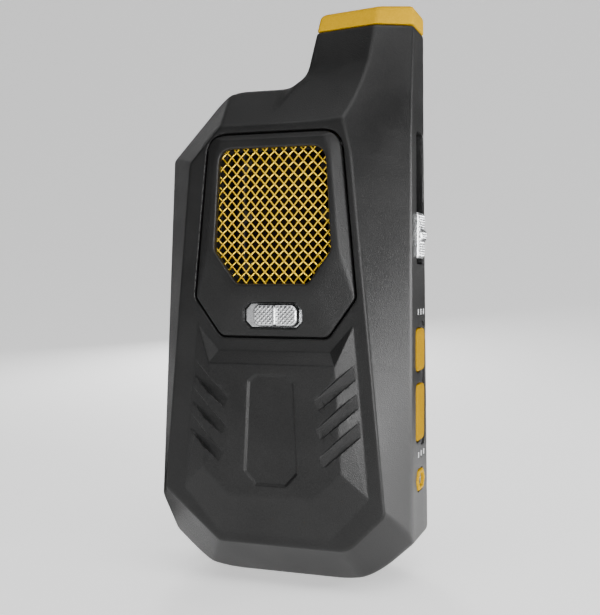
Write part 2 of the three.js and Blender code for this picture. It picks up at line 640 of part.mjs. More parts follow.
const COLOURS = {
  casing: [0x2b2c2e, 0.55, 0.0], rear: [0x252628, 0.6, 0.0], accent: [0xf7c400, 0.42, 0.0],
  mesh: [0xd9a520, 0.35, 0.5], silver: [0xc9cbcd, 0.28, 1.0], steel: [0x9a9c9f, 0.35, 1.0],
  dark: [0x161718, 0.6, 0.0], mat: [0x6b4320, 0.9, 0.0], aluminium: [0xb4b6b8, 0.4, 1.0],
  board: [0x1d4a2a, 0.5, 0.0], cell: [0x2f5f9e, 0.4, 0.0], light: [0xb9bcc0, 0.3, 0.0],
};

const unit = new THREE.Group();

function addPart(name, body, look) {
  const [color, roughness, metalness] = COLOURS[look];
  const material = new THREE.MeshStandardMaterial({ color, roughness, metalness });
  const mesh = new THREE.Mesh(geometryOf(body), material);
  mesh.name = name;
  unit.add(mesh);
}

addPart('front_shell', frontShell(), 'casing');
addPart('rear_cover', rearCover(), 'rear');
addPart('antenna_cap', antennaCap(), 'accent');
SCREW_POSTS.forEach(([x, z], index) => addPart(`rear_screw_${index + 1}`, screw(x, z), 'steel'));

addPart('door_frame', doorFrame(), 'casing');
addPart('door_mesh', meshGrille(), 'mesh');
addPart('mesh_retainer', meshRetainer(), 'dark');
addPart('hinge_pin_left', rodX(HINGE_PIN_R, -HINGE_PIN_OUT, -HINGE_PIN_IN, HINGE_Y, HINGE_Z, 10), 'steel');
addPart('hinge_pin_right', rodX(HINGE_PIN_R, HINGE_PIN_IN, HINGE_PIN_OUT, HINGE_Y, HINGE_Z, 10), 'steel');
addPart('latch_button', latchButton(), 'silver');
addPart('latch_hook', latchHook(), 'steel');
addPart('strike_bar', box(-2.9, -1.9, 4.6, 6.1, 68.8, 72.8), 'steel');

addPart('heater_tray', heaterTray(), 'dark');
addPart('heater_plate', box(-11, 11, 12.4, 14.1, MAT_BOTTOM, MAT_TOP), 'aluminium');
addPart('repellent_mat', box(-11, 11, 10.3, 12.1, MAT_BOTTOM, MAT_TOP), 'mat');
addPart('mat_clip_left', matClip(-1), 'steel');
addPart('mat_clip_right', matClip(1), 'steel');

Object.entries(KEYS).forEach(([name, key]) => addPart(name, sideKey(key), 'accent'));
addPart('tact_switch_upper', tactSwitch(KEYS.key_upper), 'dark');
addPart('tact_switch_lower', tactSwitch(KEYS.key_lower), 'dark');
addPart('slide_knob', slideKnob(), 'silver');
addPart('slide_carrier', slideCarrier(), 'dark');
addPart('slot_liner', slotLiner(), 'dark');
addPart('slide_switch', slideSwitch(), 'steel');
addPart('light_guide_upper', lightGuide(SLIT_HEIGHTS.upper), 'light');
addPart('light_guide_lower', lightGuide(SLIT_HEIGHTS.lower), 'light');
addPart('side_board', box(24.4, 25.8, 19.4, 28.2, 30, 76), 'board');
addPart('lanyard_bezel', lanyardBezel(), 'accent');
addPart('lanyard_bar', lanyardBar(), 'steel');

addPart('battery_cell_left', batteryCell(-CELL_X), 'cell');
addPart('battery_cell_right', batteryCell(CELL_X), 'cell');
addPart('battery_cradle', batteryCradle(), 'dark');
addPart('main_board', mainBoard(), 'board');
boardParts().forEach(([name, body]) => addPart(name, body, 'dark'));
addPart('charge_socket', chargeSocket(), 'steel');
addPart('charge_board', chargeBoard(), 'board');

unit.updateMatrixWorld(true);
const bounds = new THREE.Box3().setFromObject(unit);
const middle = bounds.getCenter(new THREE.Vector3());
unit.position.set(-middle.x, -middle.y, -bounds.min.z);

export default unit;
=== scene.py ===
# A handheld outdoor unit with a latched wire-mesh door, in a plain studio.
# Shapes are worked out in millimetres in the maker's frame: x runs right from the middle
# of the door, y runs back from the casing's flat front face, z runs up from the foot.
# Each moulded piece is a signed distance (negative inside) that is turned into a mesh,
# and every mesh is then put into the row frame, in metres.

import math

import bmesh
import bpy
import numpy as np
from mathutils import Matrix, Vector


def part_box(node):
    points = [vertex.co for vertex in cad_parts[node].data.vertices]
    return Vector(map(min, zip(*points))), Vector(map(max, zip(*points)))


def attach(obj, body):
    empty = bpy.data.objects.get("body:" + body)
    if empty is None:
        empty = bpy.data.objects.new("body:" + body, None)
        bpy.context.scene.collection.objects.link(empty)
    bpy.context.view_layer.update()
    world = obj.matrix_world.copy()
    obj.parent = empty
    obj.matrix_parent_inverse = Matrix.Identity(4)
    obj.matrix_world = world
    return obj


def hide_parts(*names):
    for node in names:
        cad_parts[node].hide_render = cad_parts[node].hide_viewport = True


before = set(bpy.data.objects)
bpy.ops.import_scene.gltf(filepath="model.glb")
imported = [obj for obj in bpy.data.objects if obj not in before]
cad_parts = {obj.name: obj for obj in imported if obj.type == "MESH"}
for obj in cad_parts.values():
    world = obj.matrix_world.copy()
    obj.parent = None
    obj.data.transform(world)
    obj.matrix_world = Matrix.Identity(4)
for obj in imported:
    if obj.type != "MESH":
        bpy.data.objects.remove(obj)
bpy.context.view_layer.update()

MM = 0.001
COARSE = 1.0


# ---- sizes in mm

GAP = 0.3
WALL = 2.2
SHOULDER = 130.0  # top of the casing beside the antenna stub
STUB_TOP = 145.1
LEAN_FROM = 110.9  # above this the stub's front leans back
LEAN_HEIGHT = 34.2
LEAN_BACK = 11.6  # how far back its right edge is at the stub's top
CAP_TOP = 150.5
SIDE_RIGHT = 32.6
SIDE_LEFT = -33.2
FLARE = 0.0057  # each side wall widens towards the foot, per mm
RIGHT_FLARES_BELOW = 118
LEFT_FLARES_BELOW = 112
RIGHT_CREASE = 14  # y where the right chamfer meets the wall
SEAM_AT_FOOT = 33.4
SEAM_LEAN = 0.0375
REAR_DEPTH = 2.6
SCREW_POSTS = [(-27.6, 16), (26.4, 16), (-27.4, 104), (24.5, 126.5)]
POST_SHORT = 1.2  # a screw post ends this far in front of the seam
SCREW_FLOOR = 1.6  # the cover's thickness under a screw's head

# Corners of the flat front face, as (x, y, z), and how much its sides lean in, per mm of height.
FACE_RIGHT = (29.4, 0, 21.2)
FACE_LEFT = (-30.6, 0, 24.4)
FOOT_RIGHT = (19.8, 0, 11.45)
FOOT_LEFT = (-15.1, 0, 11.5)
SHOULDER_LEFT = (-23.2, 0, 110)
TOP_LEFT = (-14.65, 0, 119.2)
RIGHT_LEAN = 0.0992
LEFT_LEAN = 0.0865

MESA = 2.3  # raised grip panel under the door
PANEL_DEPTH = 0.5
PANEL_SLOPE = 1.1  # how far the sunk plate's sides run in, per mm of depth
PANEL_SLOPE_LENGTH = 1.49  # about hypot(1, PANEL_SLOPE)
DOOR_GAP = 0.4
DOOR_BACK = 2.4
DOOR_PROUD = 1.6  # the door's raised frame, in front of the face
WELL_FLOOR = 3.0
WELL_BACK = 8.0
HINGE_Y = 1.2
HINGE_Z = 113.6
PIN_BORE = 0.62  # radius, in the shell
PIN_END = 19.68
DOOR_BORE = 0.8  # radius, in the door
DOOR_BORE_FROM = 15.6
TURNING_RADIUS = 3.85  # room for the door's top edge as it turns
TURNING_HALF = 16.8
TURNING_LIP = 0.6  # what is left of the shell in front of that room
LATCH_Z = 70.6

SLOT_Y = 24.0
SLOT_WIDTH = 8.0
SLOT_BOTTOM = 83.8
SLOT_TOP = 118.6
KNOB_BOTTOM = 85.2
KNOB_TOP = 97.6
KEY_Y = 23.7
KEY_WIDTH = 9.4
KEYS = {"key_upper": (55.4, 66.7), "key_lower": (36.8, 51.9)}
SLIT_YS = (22.0, 25.2, 28.4)
SLIT_ZS = (71.1, 33.0)
SLIT_HALF = (0.45, 0.85)  # half a light slit's width and height
EYELET = (23.6, 26.2, 4.3, 2.7)  # y, z, half width, half height
EYELET_RIM = 0.95
CHARGE = (23.0, 46.0)  # y, z of the socket in the left wall

DOOR_OUTLINE = [
    (17.75, 116.95), (21.7, 75.05), (14.5, 65.1), (-14.5, 65.1), (-21.7, 75.05), (-17.75, 116.95),
]
DOOR_RADII = (6, 3, 3, 3, 3, 6)
DOOR_FACE = [
    (14, 115.4), (15.9, 110.6), (17.8, 87.4), (11.5, 76.5),
    (-11.5, 76.5), (-17.8, 87.4), (-15.9, 110.6), (-14, 115.4),
]
MESH_OPENING = [
    (14.2, 113.1), (15.75, 87.1), (9.6, 78.65), (-9.6, 78.65), (-15.75, 87.1), (-14.2, 113.1),
]
MESH_RADII = (4, 3, 2, 2, 3, 4)
LATCH_RECESS = [
    (6.2, 73.9), (7.9, 72.2), (7.9, 69.0), (6.2, 67.3),
    (-6.2, 67.3), (-7.9, 69.0), (-7.9, 72.2), (-6.2, 73.9),
]
SUNK_PANEL = [
    (4, 55.6), (6.25, 54), (7.3, 30.6), (4.15, 27.1),
    (-4.15, 27.1), (-7.3, 30.6), (-6.25, 54), (-4, 55.6),
]

# Where the maker's frame has its origin in the row frame, in metres: the door's middle, the flat
# front face, which the door's frame stands proud of, and the shell's foot.
shell_low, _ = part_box("front_shell")
door_low, door_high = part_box("door_frame")
ORIGIN = np.array((
    (door_low.x + door_high.x) / 2,
    door_low.y + DOOR_PROUD * MM,
    shell_low.z,
))


# ---- distance shapes

def both(a, b, blend=0.0):
    """Where both solids are. The edge between them is rounded over about the blend."""
    if blend <= 0:
        return np.maximum(a, b)
    near = np.maximum(blend - np.abs(a - b), 0)
    return np.maximum(a, b) + near * near / (4 * blend)


def either(a, b, blend=0.0):
    """Where either solid is. The corner between them is filled over about the blend."""
    return -both(-a, -b, blend)


def without(a, b, blend=0.0):
    """The first solid less the second."""
    return both(a, -b, blend)


def slab(w, low, high):
    """Everything between two parallel planes."""
    return np.maximum(low - w, w - high)


def rod(u, v, radius):
    """An endless round bar; u and v are the distances from its axis."""
    return np.sqrt(u * u + v * v) - radius


def block(p, spans, blend=0.3):
    """A box from spans ((x0, x1), (y0, y1), (z0, z1)) with rounded edges."""
    sides = [slab(w, low, high) for w, (low, high) in zip(p, spans)]
    return both(both(sides[0], sides[1], blend), sides[2], blend)


def plane(p, a, b, c):
    """Distance to the plane through a, b and c, positive on the side (b - a) x (c - a) points to."""
    a, b, c = (np.array(q, float) for q in (a, b, c))
    normal = np.cross(b - a, c - a)
    normal /= np.linalg.norm(normal)
    return normal[0] * (p[0] - a[0]) + normal[1] * (p[1] - a[1]) + normal[2] * (p[2] - a[2])


def away_from(p, a, b, c, inside=(0, 20, 60)):
    """Distance to the plane through a, b and c, negative on the side of the inside point."""
    side = plane(np.array(inside, float), a, b, c)
    return plane(p, a, b, c) * (-1 if side > 0 else 1)


def hull_planes(points):
    """The faces of the convex solid around the points, as (normal, reach)."""
    bm = bmesh.new()
    for point in points:
        bm.verts.new(point)
    bmesh.ops.convex_hull(bm, input=bm.verts)
    planes = []
    for face in bm.faces:
        a, b, c = (np.array(v.co, float) for v in face.verts[:3])
        normal = np.cross(b - a, c - a)
        if np.linalg.norm(normal) < 1e-4:
            continue
        normal /= np.linalg.norm(normal)
        reach = float(normal @ a)
        if not any(normal @ other > 0.9999 and abs(reach - far) < 0.05 for other, far in planes):
            planes.append((normal, reach))
    bm.free()
    return planes


def convex(p, planes, blend=0.0):
    """The solid inside all the planes that hull_planes gives."""
    solid = None
    for normal, reach in planes:
        side = normal[0] * p[0] + normal[1] * p[1] + normal[2] * p[2] - reach
        solid = side if solid is None else both(solid, side, blend)
    return solid


def mirrored(points):
    """Each point, followed by its twin across the middle plane."""
    return [(side * q[0],) + tuple(q[1:]) for q in points for side in (1, -1)]


def rounded(corners, radii, steps=6):
    """The outline's points, with a smooth bend at each corner in place of the point."""
    points = []
    count = len(corners)
    for i, corner in enumerate(corners):
        radius = radii[i] if hasattr(radii, "__len__") else radii
        here = np.array(corner, float)
        back = np.array(corners[i - 1], float) - here
        ahead = np.array(corners[(i + 1) % count], float) - here
        back /= np.linalg.norm(back)
        ahead /= np.linalg.norm(ahead)
        half = math.acos(max(-1.0, min(1.0, float(back @ ahead)))) / 2
        reach = radius / math.tan(half)
        for k in range(steps + 1):
            t = k / steps
            points.append(tuple(here + back * reach * (1 - t) ** 2 + ahead * reach * t * t))
    return points


def offset(corners, distance):
    """The corners moved so that every side moves outwards by the distance."""
    count = len(corners)
    area = sum(
        corners[i][0] * corners[(i + 1) % count][1] - corners[(i + 1) % count][0] * corners[i][1]
        for i in range(count))
    turn = 1 if area > 0 else -1
    moved = []
    for i, corner in enumerate(corners):
        normals = []
        for a, b in ((corners[i - 1], corner), (corner, corners[(i + 1) % count])):
            along = np.array(b, float) - np.array(a, float)
            along /= np.linalg.norm(along)
            normals.append(np.array((along[1], -along[0])) * turn)
        middle = (normals[0] + normals[1]) / np.linalg.norm(normals[0] + normals[1])
        moved.append(tuple(np.array(corner, float) + middle * distance / float(middle @ normals[0])))
    return moved


def rectangle(u0, u1, v0, v1):
    """The four corners of a rectangle."""
    return [(u0, v0), (u1, v0), (u1, v1), (u0, v1)]


def polygon(u, v, points):
    """Signed distance to a closed outline in a plane."""
    shape = np.broadcast(u, v).shape
    nearest = np.full(shape, 1e9, np.float32)
    odd = np.zeros(shape, bool)
    count = len(points)
    for i in range(count):
        ax, ay = points[i]
        bx, by = points[(i + 1) % count]
        ex, ey = bx - ax, by - ay
        length = ex * ex + ey * ey
        if length < 1e-10:
            continue
        t = np.clip(((u - ax) * ex + (v - ay) * ey) / length, 0, 1)
        nearest = np.minimum(nearest, (u - ax - t * ex) ** 2 + (v - ay - t * ey) ** 2)
        if ay != by:
            odd ^= ((ay > v) != (by > v)) & (u < (bx - ax) * (v - ay) / (by - ay) + ax)
    return np.where(odd, -1, 1) * np.sqrt(nearest)


def within(p, low, high, base, change):
    """The base, with change(p, base) worked out only inside the box from low to high."""
    if p[0].ndim == 3:
        spans = tuple(
            slice(int(np.searchsorted(w.ravel(), a)), int(np.searchsorted(w.ravel(), b)))
            for w, a, b in zip(p, low, high))
        if any(s.start >= s.stop for s in spans):
            return base
        near = (p[0][spans[0]], p[1][:, spans[1]], p[2][:, :, spans[2]])
    else:
        spans = np.ones(p[0].shape, bool)
        for w, a, b in zip(p, low, high):
            spans &= (w >= a) & (w < b)
        if not spans.any():
            return base
        near = tuple(w[spans] for w in p)
    base[spans] = change(near, base[spans])
    return base


# ---- meshes

def ticks(*spans):
    """Grid lines: each span is (from, to, step)."""
    lines = []
    for low, high, step in spans:
        count = max(2, int(math.ceil((high - low) / (step * COARSE))))
        lines.append(np.linspace(low, high, count, endpoint=False))
    lines.append(np.array([spans[-1][1]]))
    return np.concatenate(lines).astype(np.float32)


def surface_net(shape, axes):
    """Points and quads of the shape's surface on a grid, one point to each cell it crosses."""
    grid = np.meshgrid(*axes, indexing="ij", sparse=True)
    field = np.broadcast_to(shape(grid), tuple(len(a) for a in axes))
    inside = field < 0
    count = tuple(n - 1 for n in field.shape)
    corners = [(i, j, k) for i in (0, 1) for j in (0, 1) for k in (0, 1)]
    full = np.zeros(count, np.int8)
    for corner in corners:
        full += inside[tuple(slice(c, c + n) for c, n in zip(corner, count))]
    cells = np.argwhere((full > 0) & (full < 8))
    values = np.stack([field[tuple((cells + corner).T)] for corner in corners], 1)
    total = np.zeros((len(cells), 3))
    hits = np.zeros(len(cells))
    for index, corner in enumerate(corners):
        for axis in range(3):
            if corner[axis]:
                continue
            other = corners.index(tuple(c + (k == axis) for k, c in enumerate(corner)))
            fa, fb = values[:, index], values[:, other]
            crossed = (fa < 0) != (fb < 0)
            step = np.zeros(len(cells))
            step[crossed] = fa[crossed] / (fa[crossed] - fb[crossed])
            total += crossed[:, None] * np.array(corner, float)
            total[:, axis] += step
            hits += crossed
    inner = total / hits[:, None]
    points = np.stack([
        axes[k][cells[:, k]] + inner[:, k] * (axes[k][cells[:, k] + 1] - axes[k][cells[:, k]])
        for k in range(3)], 1).astype(float)
    number = np.full(count, -1, np.int32)
    number[tuple(cells.T)] = np.arange(len(cells))

    quads = []
    for axis in range(3):
        u, v = (axis + 1) % 3, (axis + 2) % 3
        near = [slice(1, -1)] * 3
        near[axis] = slice(0, -1)
        far = list(near)
        far[axis] = slice(1, None)
        first, second = inside[tuple(near)], inside[tuple(far)]
        for leaving in (True, False):
            found = np.argwhere((first & ~second) if leaving else (~first & second)) + 1
            found[:, axis] -= 1
            ring = []
            for du, dv in ((0, 0), (1, 0), (1, 1), (0, 1)):
                cell = found.copy()
                cell[:, u] -= du
                cell[:, v] -= dv
                ring.append(number[tuple(cell.T)])
            ring = np.stack(ring, 1)
            quads.append(ring if leaving else ring[:, ::-1])
    quads = np.concatenate(quads)
    return points, quads[(quads >= 0).all(1)]


def settle(shape, points, most, rounds=3, reach=0.02):
    """Moves the points onto the shape's surface, each by at most so much a round."""
    for _ in range(rounds):
        value = shape(points.T)
        slope = np.empty_like(points)
        for axis in range(3):
            ahead = points.copy()
            ahead[:, axis] += reach
            slope[:, axis] = (shape(ahead.T) - value) / reach
        size = np.maximum((slope * slope).sum(1), 0.1)
        move = -(value / size)[:, None] * slope
        length = np.linalg.norm(move, axis=1, keepdims=True)
        points = points + move * np.minimum(1, most / np.maximum(length, 1e-9))
    return points


def new_object(name, points, faces):
    """An object of faces over points that are in millimetres in the maker's frame."""
    mesh = bpy.data.meshes.new(name)
    mesh.from_pydata((np.asarray(points, float) * MM + ORIGIN).tolist(), [], faces)
    obj = bpy.data.objects.new(name, mesh)
    bpy.context.scene.collection.objects.link(obj)
    return obj


def finish_mesh(obj, angle=35):
    """Smooth shading with sharp creases, and flat faces that stay flat beside fillets."""
    obj.data.validate()
    obj.data.polygons.foreach_set("use_smooth", [True] * len(obj.data.polygons))
    obj.data.set_sharp_from_angle(angle=math.radians(angle))
    modifier = obj.modifiers.new("flat_shading", "WEIGHTED_NORMAL")
    modifier.keep_sharp = True
    modifier.weight = 80
    obj.data.update()


def moulded(name, shape, axes, keep=0.35, angle=35):
    """A mesh of the shape, thinned to the share of faces to keep, mostly where it is flat."""
    points, quads = surface_net(shape, axes)
    step = float(max(np.median(np.diff(a)) for a in axes))
    points = settle(shape, points, 0.4 * step)
    obj = new_object(name, points, quads.tolist())
    modifier = obj.modifiers.new("thin", "DECIMATE")
    modifier.ratio = keep
    bpy.context.view_layer.update()
    thinned = bpy.data.meshes.new_from_object(obj.evaluated_get(bpy.context.evaluated_depsgraph_get()))
    obj.modifiers.clear()
    full = obj.data
    obj.data = thinned
    bpy.data.meshes.remove(full)
    thinned.name = name
    finish_mesh(obj, angle)
    return obj


def even(low, high, step):
    """Grid lines for a box, with a margin of two cells round it."""
    return [ticks((a - 2 * step, b + 2 * step, step)) for a, b in zip(low, high)]


def in_wall(x_low, x_high, middle, half_y, half_z, step):
    """Grid lines for a piece in a side wall, round the y and z that middle starts with."""
    y, z = middle[:2]
    return even((x_low, y - half_y, z - half_z), (x_high, y + half_y, z + half_z), step)


def place(obj, body, slot, material, *nodes):
    """Gives the piece its material and body, and hides the CAD nodes that it stands for. The slot is
    not used.
    """
    obj.data.materials.append(material)
    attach(obj, body)
    if nodes:
        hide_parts(*nodes)


def skin(node, shape, axes, body, slot, material, keep=0.35, angle=35):
    """A moulded piece that stands for the CAD node."""
    place(moulded(node + "_skin", shape, axes, keep, angle), body, slot, material, node)


# ---- materials

def new_material(name):
    """A material, its node tree and its main shader."""
    material = bpy.data.materials.new(name)
    material.use_nodes = True
    shader = material.node_tree.nodes["Principled BSDF"]
    return material, material.node_tree, shader


def noise(tree, scale, detail=2.0, roughness=0.5, squeeze=(1, 1, 1)):
    """Noise in the object's own metres; the scale is in features per metre."""
    where = tree.nodes.new("ShaderNodeTexCoord")
    mapping = tree.nodes.new("ShaderNodeMapping")
    mapping.inputs["Scale"].default_value = squeeze
    texture = tree.nodes.new("ShaderNodeTexNoise")
    texture.inputs["Scale"].default_value = scale
    texture.inputs["Detail"].default_value = detail
    texture.inputs["Roughness"].default_value = roughness
    tree.links.new(where.outputs["Object"], mapping.inputs["Vector"])
    tree.links.new(mapping.outputs["Vector"], texture.inputs["Vector"])
    return texture.outputs["Fac"]


def ramp(tree, value, stops):
    """A colour ramp; each stop is (position, (r, g, b))."""
    node = tree.nodes.new("ShaderNodeValToRGB")
    while len(node.color_ramp.elements) < len(stops):
        node.color_ramp.elements.new(0.5)
    for element, (position, colour) in zip(node.color_ramp.elements, stops):
        element.position = position
        element.color = (*colour, 1)
    tree.links.new(value, node.inputs["Fac"])
    return node.outputs["Color"]


def spread(tree, value, low, high):
    """The value, 0 to 1, stretched to run from low to high."""
    node = tree.nodes.new("ShaderNodeMapRange")
    node.inputs["From Min"].default_value = 0.3
    node.inputs["From Max"].default_value = 0.7
    node.inputs["To Min"].default_value = low
    node.inputs["To Max"].default_value = high
    tree.links.new(value, node.inputs["Value"])
    return node.outputs["Result"]


def bump(tree, shader, value, depth, under=None):
    """Relief of the depth, in metres, laid over any relief given as under."""
    node = tree.nodes.new("ShaderNodeBump")
    node.inputs["Strength"].default_value = 1.0
    node.inputs["Distance"].default_value = depth
    tree.links.new(value, node.inputs["Height"])
    if under:
        tree.links.new(under, node.inputs["Normal"])
    tree.links.new(node.outputs["Normal"], shader.inputs["Normal"])
    return node.outputs["Normal"]


def plastic(name, dark, light, rough=(0.45, 0.6), grain=2600, depth=0.00003, specular=0.5):
    """Moulded plastic: spark-eroded grain over a slow drift of shade and gloss."""
    material, tree, shader = new_material(name)
    drift = noise(tree, 60, 3)
    fine = noise(tree, grain, 2, 0.6)
    mixed = tree.nodes.new("ShaderNodeMix")
    mixed.data_type = "FLOAT"
    mixed.inputs[0].default_value = 0.6
    tree.links.new(drift, mixed.inputs[2])
    tree.links.new(fine, mixed.inputs[3])
    tree.links.new(
        ramp(tree, mixed.outputs[0], [(0.35, dark), (0.65, light)]), shader.inputs["Base Color"])
    tree.links.new(spread(tree, drift, *rough), shader.inputs["Roughness"])
    shader.inputs["Specular IOR Level"].default_value = specular
    bump(tree, shader, fine, depth)
    return material


def metal(name, dark, light, rough=(0.25, 0.4), grain=900, depth=0.00001, squeeze=(1, 1, 1),
          metallic=1.0):
    """Cast or drawn metal with a fine drag of scratches."""
    material, tree, shader = new_material(name)
    fine = noise(tree, grain, 3, 0.6, squeeze)
    tree.links.new(ramp(tree, fine, [(0.3, dark), (0.7, light)]), shader.inputs["Base Color"])
    tree.links.new(spread(tree, fine, *rough), shader.inputs["Roughness"])
    shader.inputs["Metallic"].default_value = metallic
    bump(tree, shader, fine, depth)
    return material


CASING = plastic(
    "casing_plastic", (0.0045, 0.0045, 0.0046), (0.013, 0.013, 0.013), (0.33, 0.43), 3600, 0.00007, 0.3)
REAR = plastic(
    "rear_plastic", (0.005, 0.005, 0.0051), (0.012, 0.012, 0.012), (0.46, 0.56), 3600, 0.00007, 0.3)
ACCENT = plastic(
    "accent_plastic", (0.46, 0.26, 0.0), (0.54, 0.31, 0.0), (0.4, 0.5), 1800, 0.000015, 0.02)
WIRE = metal(
    "mesh_wire_paint", (0.8, 0.5, 0.01), (0.95, 0.64, 0.04), (0.18, 0.28), 1500, 0.00001, metallic=0.6)
SILVER = metal("silver_plating", (0.55, 0.56, 0.57), (0.75, 0.76, 0.77), (0.22, 0.34), 1200)
STEEL = metal("steel", (0.35, 0.36, 0.37), (0.55, 0.56, 0.57), (0.3, 0.45), 700, squeeze=(1, 1, 6))
DARK = plastic(
    "inner_plastic", (0.003, 0.003, 0.003), (0.007, 0.007, 0.007), (0.55, 0.7), specular=0.15)
KEY = plastic("key_rubber", (0.30, 0.165, 0.0), (0.36, 0.2, 0.0), (0.6, 0.7), 1800, 0.00002, 0.01)
# The mat's own brown is darkened to near black: painted shade for the chamber seen through the mesh.
MAT_DARKENED_AS_SHADE = plastic(
    "repellent_mat", (0.004, 0.0025, 0.0015), (0.011, 0.007, 0.004), (0.8, 0.95), 900, 0.00012, 0.1)
BLACK_STEEL = metal(
    "blackened_steel", (0.006, 0.006, 0.006), (0.014, 0.014, 0.014), (0.5, 0.65), 700, metallic=0.3)
ALUMINIUM = metal(
    "aluminium", (0.5, 0.5, 0.51), (0.68, 0.68, 0.69), (0.3, 0.45), 500, squeeze=(1, 1, 9))
BOARD = plastic("circuit_board", (0.004, 0.03, 0.012), (0.01, 0.07, 0.03), (0.35, 0.5), 700, 0.00004)
CELL = plastic("cell_sleeve", (0.01, 0.06, 0.2), (0.02, 0.1, 0.3), (0.3, 0.4), 300, 0.00001)
LIGHT = plastic("light_guide", (0.5, 0.51, 0.52), (0.62, 0.63, 0.64), (0.3, 0.4), 900, 0.00001)


# ---- casing

def right_wall(z):
    """The right wall's x at height z."""
    return SIDE_RIGHT + (RIGHT_FLARES_BELOW - np.minimum(z, RIGHT_FLARES_BELOW)) * FLARE


def left_wall(z):
    """The left wall's x at height z."""
    return SIDE_LEFT - (LEFT_FLARES_BELOW - np.minimum(z, LEFT_FLARES_BELOW)) * FLARE


def ruled_side(x, y, edge_x, edge_y, wall_x, wall_y, side):
    """A chamfer that runs, at each height, from the front's edge to a crease on the wall."""
    dx = (wall_x - edge_x) * side
    dy = wall_y - edge_y
    length = np.sqrt(dx * dx + dy * dy)
    return ((x - edge_x) * side * dy - (y - edge_y) * dx) / length


def casing(p):
    """The whole unit's outer form from foot to cap, without the grip mesa."""
    x, y, z = p
    low = np.minimum(z, LEAN_FROM)
    rise = np.maximum(z - LEAN_FROM, 0) / LEAN_HEIGHT
    right_edge = FACE_RIGHT[0] - (low - FACE_RIGHT[2]) * RIGHT_LEAN + 3.1 * rise
    right_crease = RIGHT_CREASE + 2 * np.clip((z - RIGHT_FLARES_BELOW) / 27, 0, 1.4)
    right_chamfer = ruled_side(x, y, right_edge, LEAN_BACK * rise, right_wall(z), right_crease, 1)
    left_edge = SHOULDER_LEFT[0] - (SHOULDER_LEFT[2] - z) * LEFT_LEAN
    left_crease = np.clip(11 - (112.5 - z) * 0.0718, 2, 14)
    left_chamfer = ruled_side(x, y, left_edge, 0, left_wall(z), left_crease, -1)

    lower_right = away_from(p, FACE_RIGHT, FOOT_RIGHT, (33, 15, 11))
    lower_left = away_from(p, FACE_LEFT, FOOT_LEFT, (-33.8, 13.5, 9.8))
    bottom_bevel = away_from(p, FOOT_LEFT, FOOT_RIGHT, (0, 14.5, 0))
    right_corner = away_from(p, (33, 0, 10.5), (21.5, 0, 0), (33, 9, 10.5))
    left_corner = away_from(p, (-33.8, 0, 9.8), (-22.8, 0, 0), (-33.8, 9, 9.8))

    lower = both(lower_right, bottom_bevel, 1.6)
    right = both(both(right_chamfer, lower, 1.0), x - right_wall(z), 0.5)
    left = both(left_chamfer, left_wall(z) - x, 0.5)
    below = both(both(-z, right_corner, 6), left_corner, 6)
    front = both(-y, lower_left, 0.45)
    common = both(both(both(right, left), below, 0.8), front, 0.5)

    top_bevel = away_from(p, TOP_LEFT, (12, 0, 119.2), (0, 10, SHOULDER))
    shoulder_bevel = away_from(p, SHOULDER_LEFT, TOP_LEFT, (-33.2, 11, 112.5))
    shoulder_corner = away_from(p, (-33.2, 0, 112.5), (-16.5, 0, SHOULDER), (-33.2, 9, 112.5))
    shoulder = both(both(top_bevel, shoulder_bevel, 0.4), both(z - SHOULDER, shoulder_corner, 4), 1.0)

    stub_front = away_from(p, (20.5, 0, LEAN_FROM), (23.6, LEAN_BACK, STUB_TOP), (6.4, 15.4, STUB_TOP))
    stub_left = away_from(
        p, (4.5, 0, SHOULDER), (6.4, 0, STUB_TOP), (4.5, 9, SHOULDER), (20, 20, SHOULDER))
    stub = both(stub_front, stub_left, 1.2)
    return both(common, either(shoulder, stub, 6.0), 0.45)


def seam(p):
    """Distance behind the seam between front shell and rear cover."""
    return p[1] - (SEAM_AT_FOOT - SEAM_LEAN * p[2])


def post_end(z):
    """The y at which the screw post at height z ends."""
    return SEAM_AT_FOOT - SEAM_LEAN * z - POST_SHORT


# ---- front shell

FACET_BLEND = 0.14  # how far the grip panel's edges are rounded
MESA_MIDDLE = hull_planes(mirrored([
    (15.15, 0, 61.4), (25.2, 0, 25), (15, 0, 13.9),
    (17, -MESA, 58.2), (18.7, -MESA, 31), (11.4, -MESA, 24.3),
    (15.15, 1.2, 61.4), (25.2, 1.2, 25), (15, 1.2, 13.9),
]))
EAR = [
    (21.2, 0, 68.3), (15.15, 0, 61.4), (25.2, 0, 25), (17, -MESA, 58.2), (18.7, -MESA, 31),
    (21.2, 1.2, 68.3), (15.15, 1.2, 61.4), (25.2, 1.2, 25), (10, -MESA, 40), (10, 1.2, 40),
]
EARS = [hull_planes([(side * x, y, z) for x, y, z in EAR]) for side in (-1, 1)]


def slash_planes(side, row):
    """One slash beside the panel: a flat floor falls from the mesa's top to its foot line."""
    def line(x, y, z):
        return (side * (x + 0.65 * row), y, z - 7.1 * row)
    return hull_planes([
        line(11.6, -MESA, 49.3), line(12.8, -MESA, 46.8),
        line(22.2, -0.1, 59.0), line(22.4, -0.1, 55.2),
        line(26, -0.02, 62.2), line(26, -0.02, 58.3),
        line(11.2, -6, 50.2), line(12.6, -6, 46.0), line(26, -6, 63.2), line(26, -6, 57.4),
    ])


SLASHES = [slash_planes(side, row) for side in (-1, 1) for row in range(3)]


def add_mesa(p, base):
    """The raised grip panel with its two upper corners, six slashes and the sunk plate."""
    mesa = convex(p, MESA_MIDDLE, FACET_BLEND)
    for ear in EARS:
        mesa = either(mesa, convex(p, ear, FACET_BLEND), 0.08)
    for planes in SLASHES:
        mesa = without(mesa, convex(p, planes), 0.03)
    slope = (polygon(p[0], p[2], SUNK_PANEL) + (p[1] + MESA) * PANEL_SLOPE) / PANEL_SLOPE_LENGTH
    mesa = without(mesa, both(slope, p[1] + MESA - PANEL_DEPTH, 0.05), 0.08)
    return either(base, mesa, 0.15)


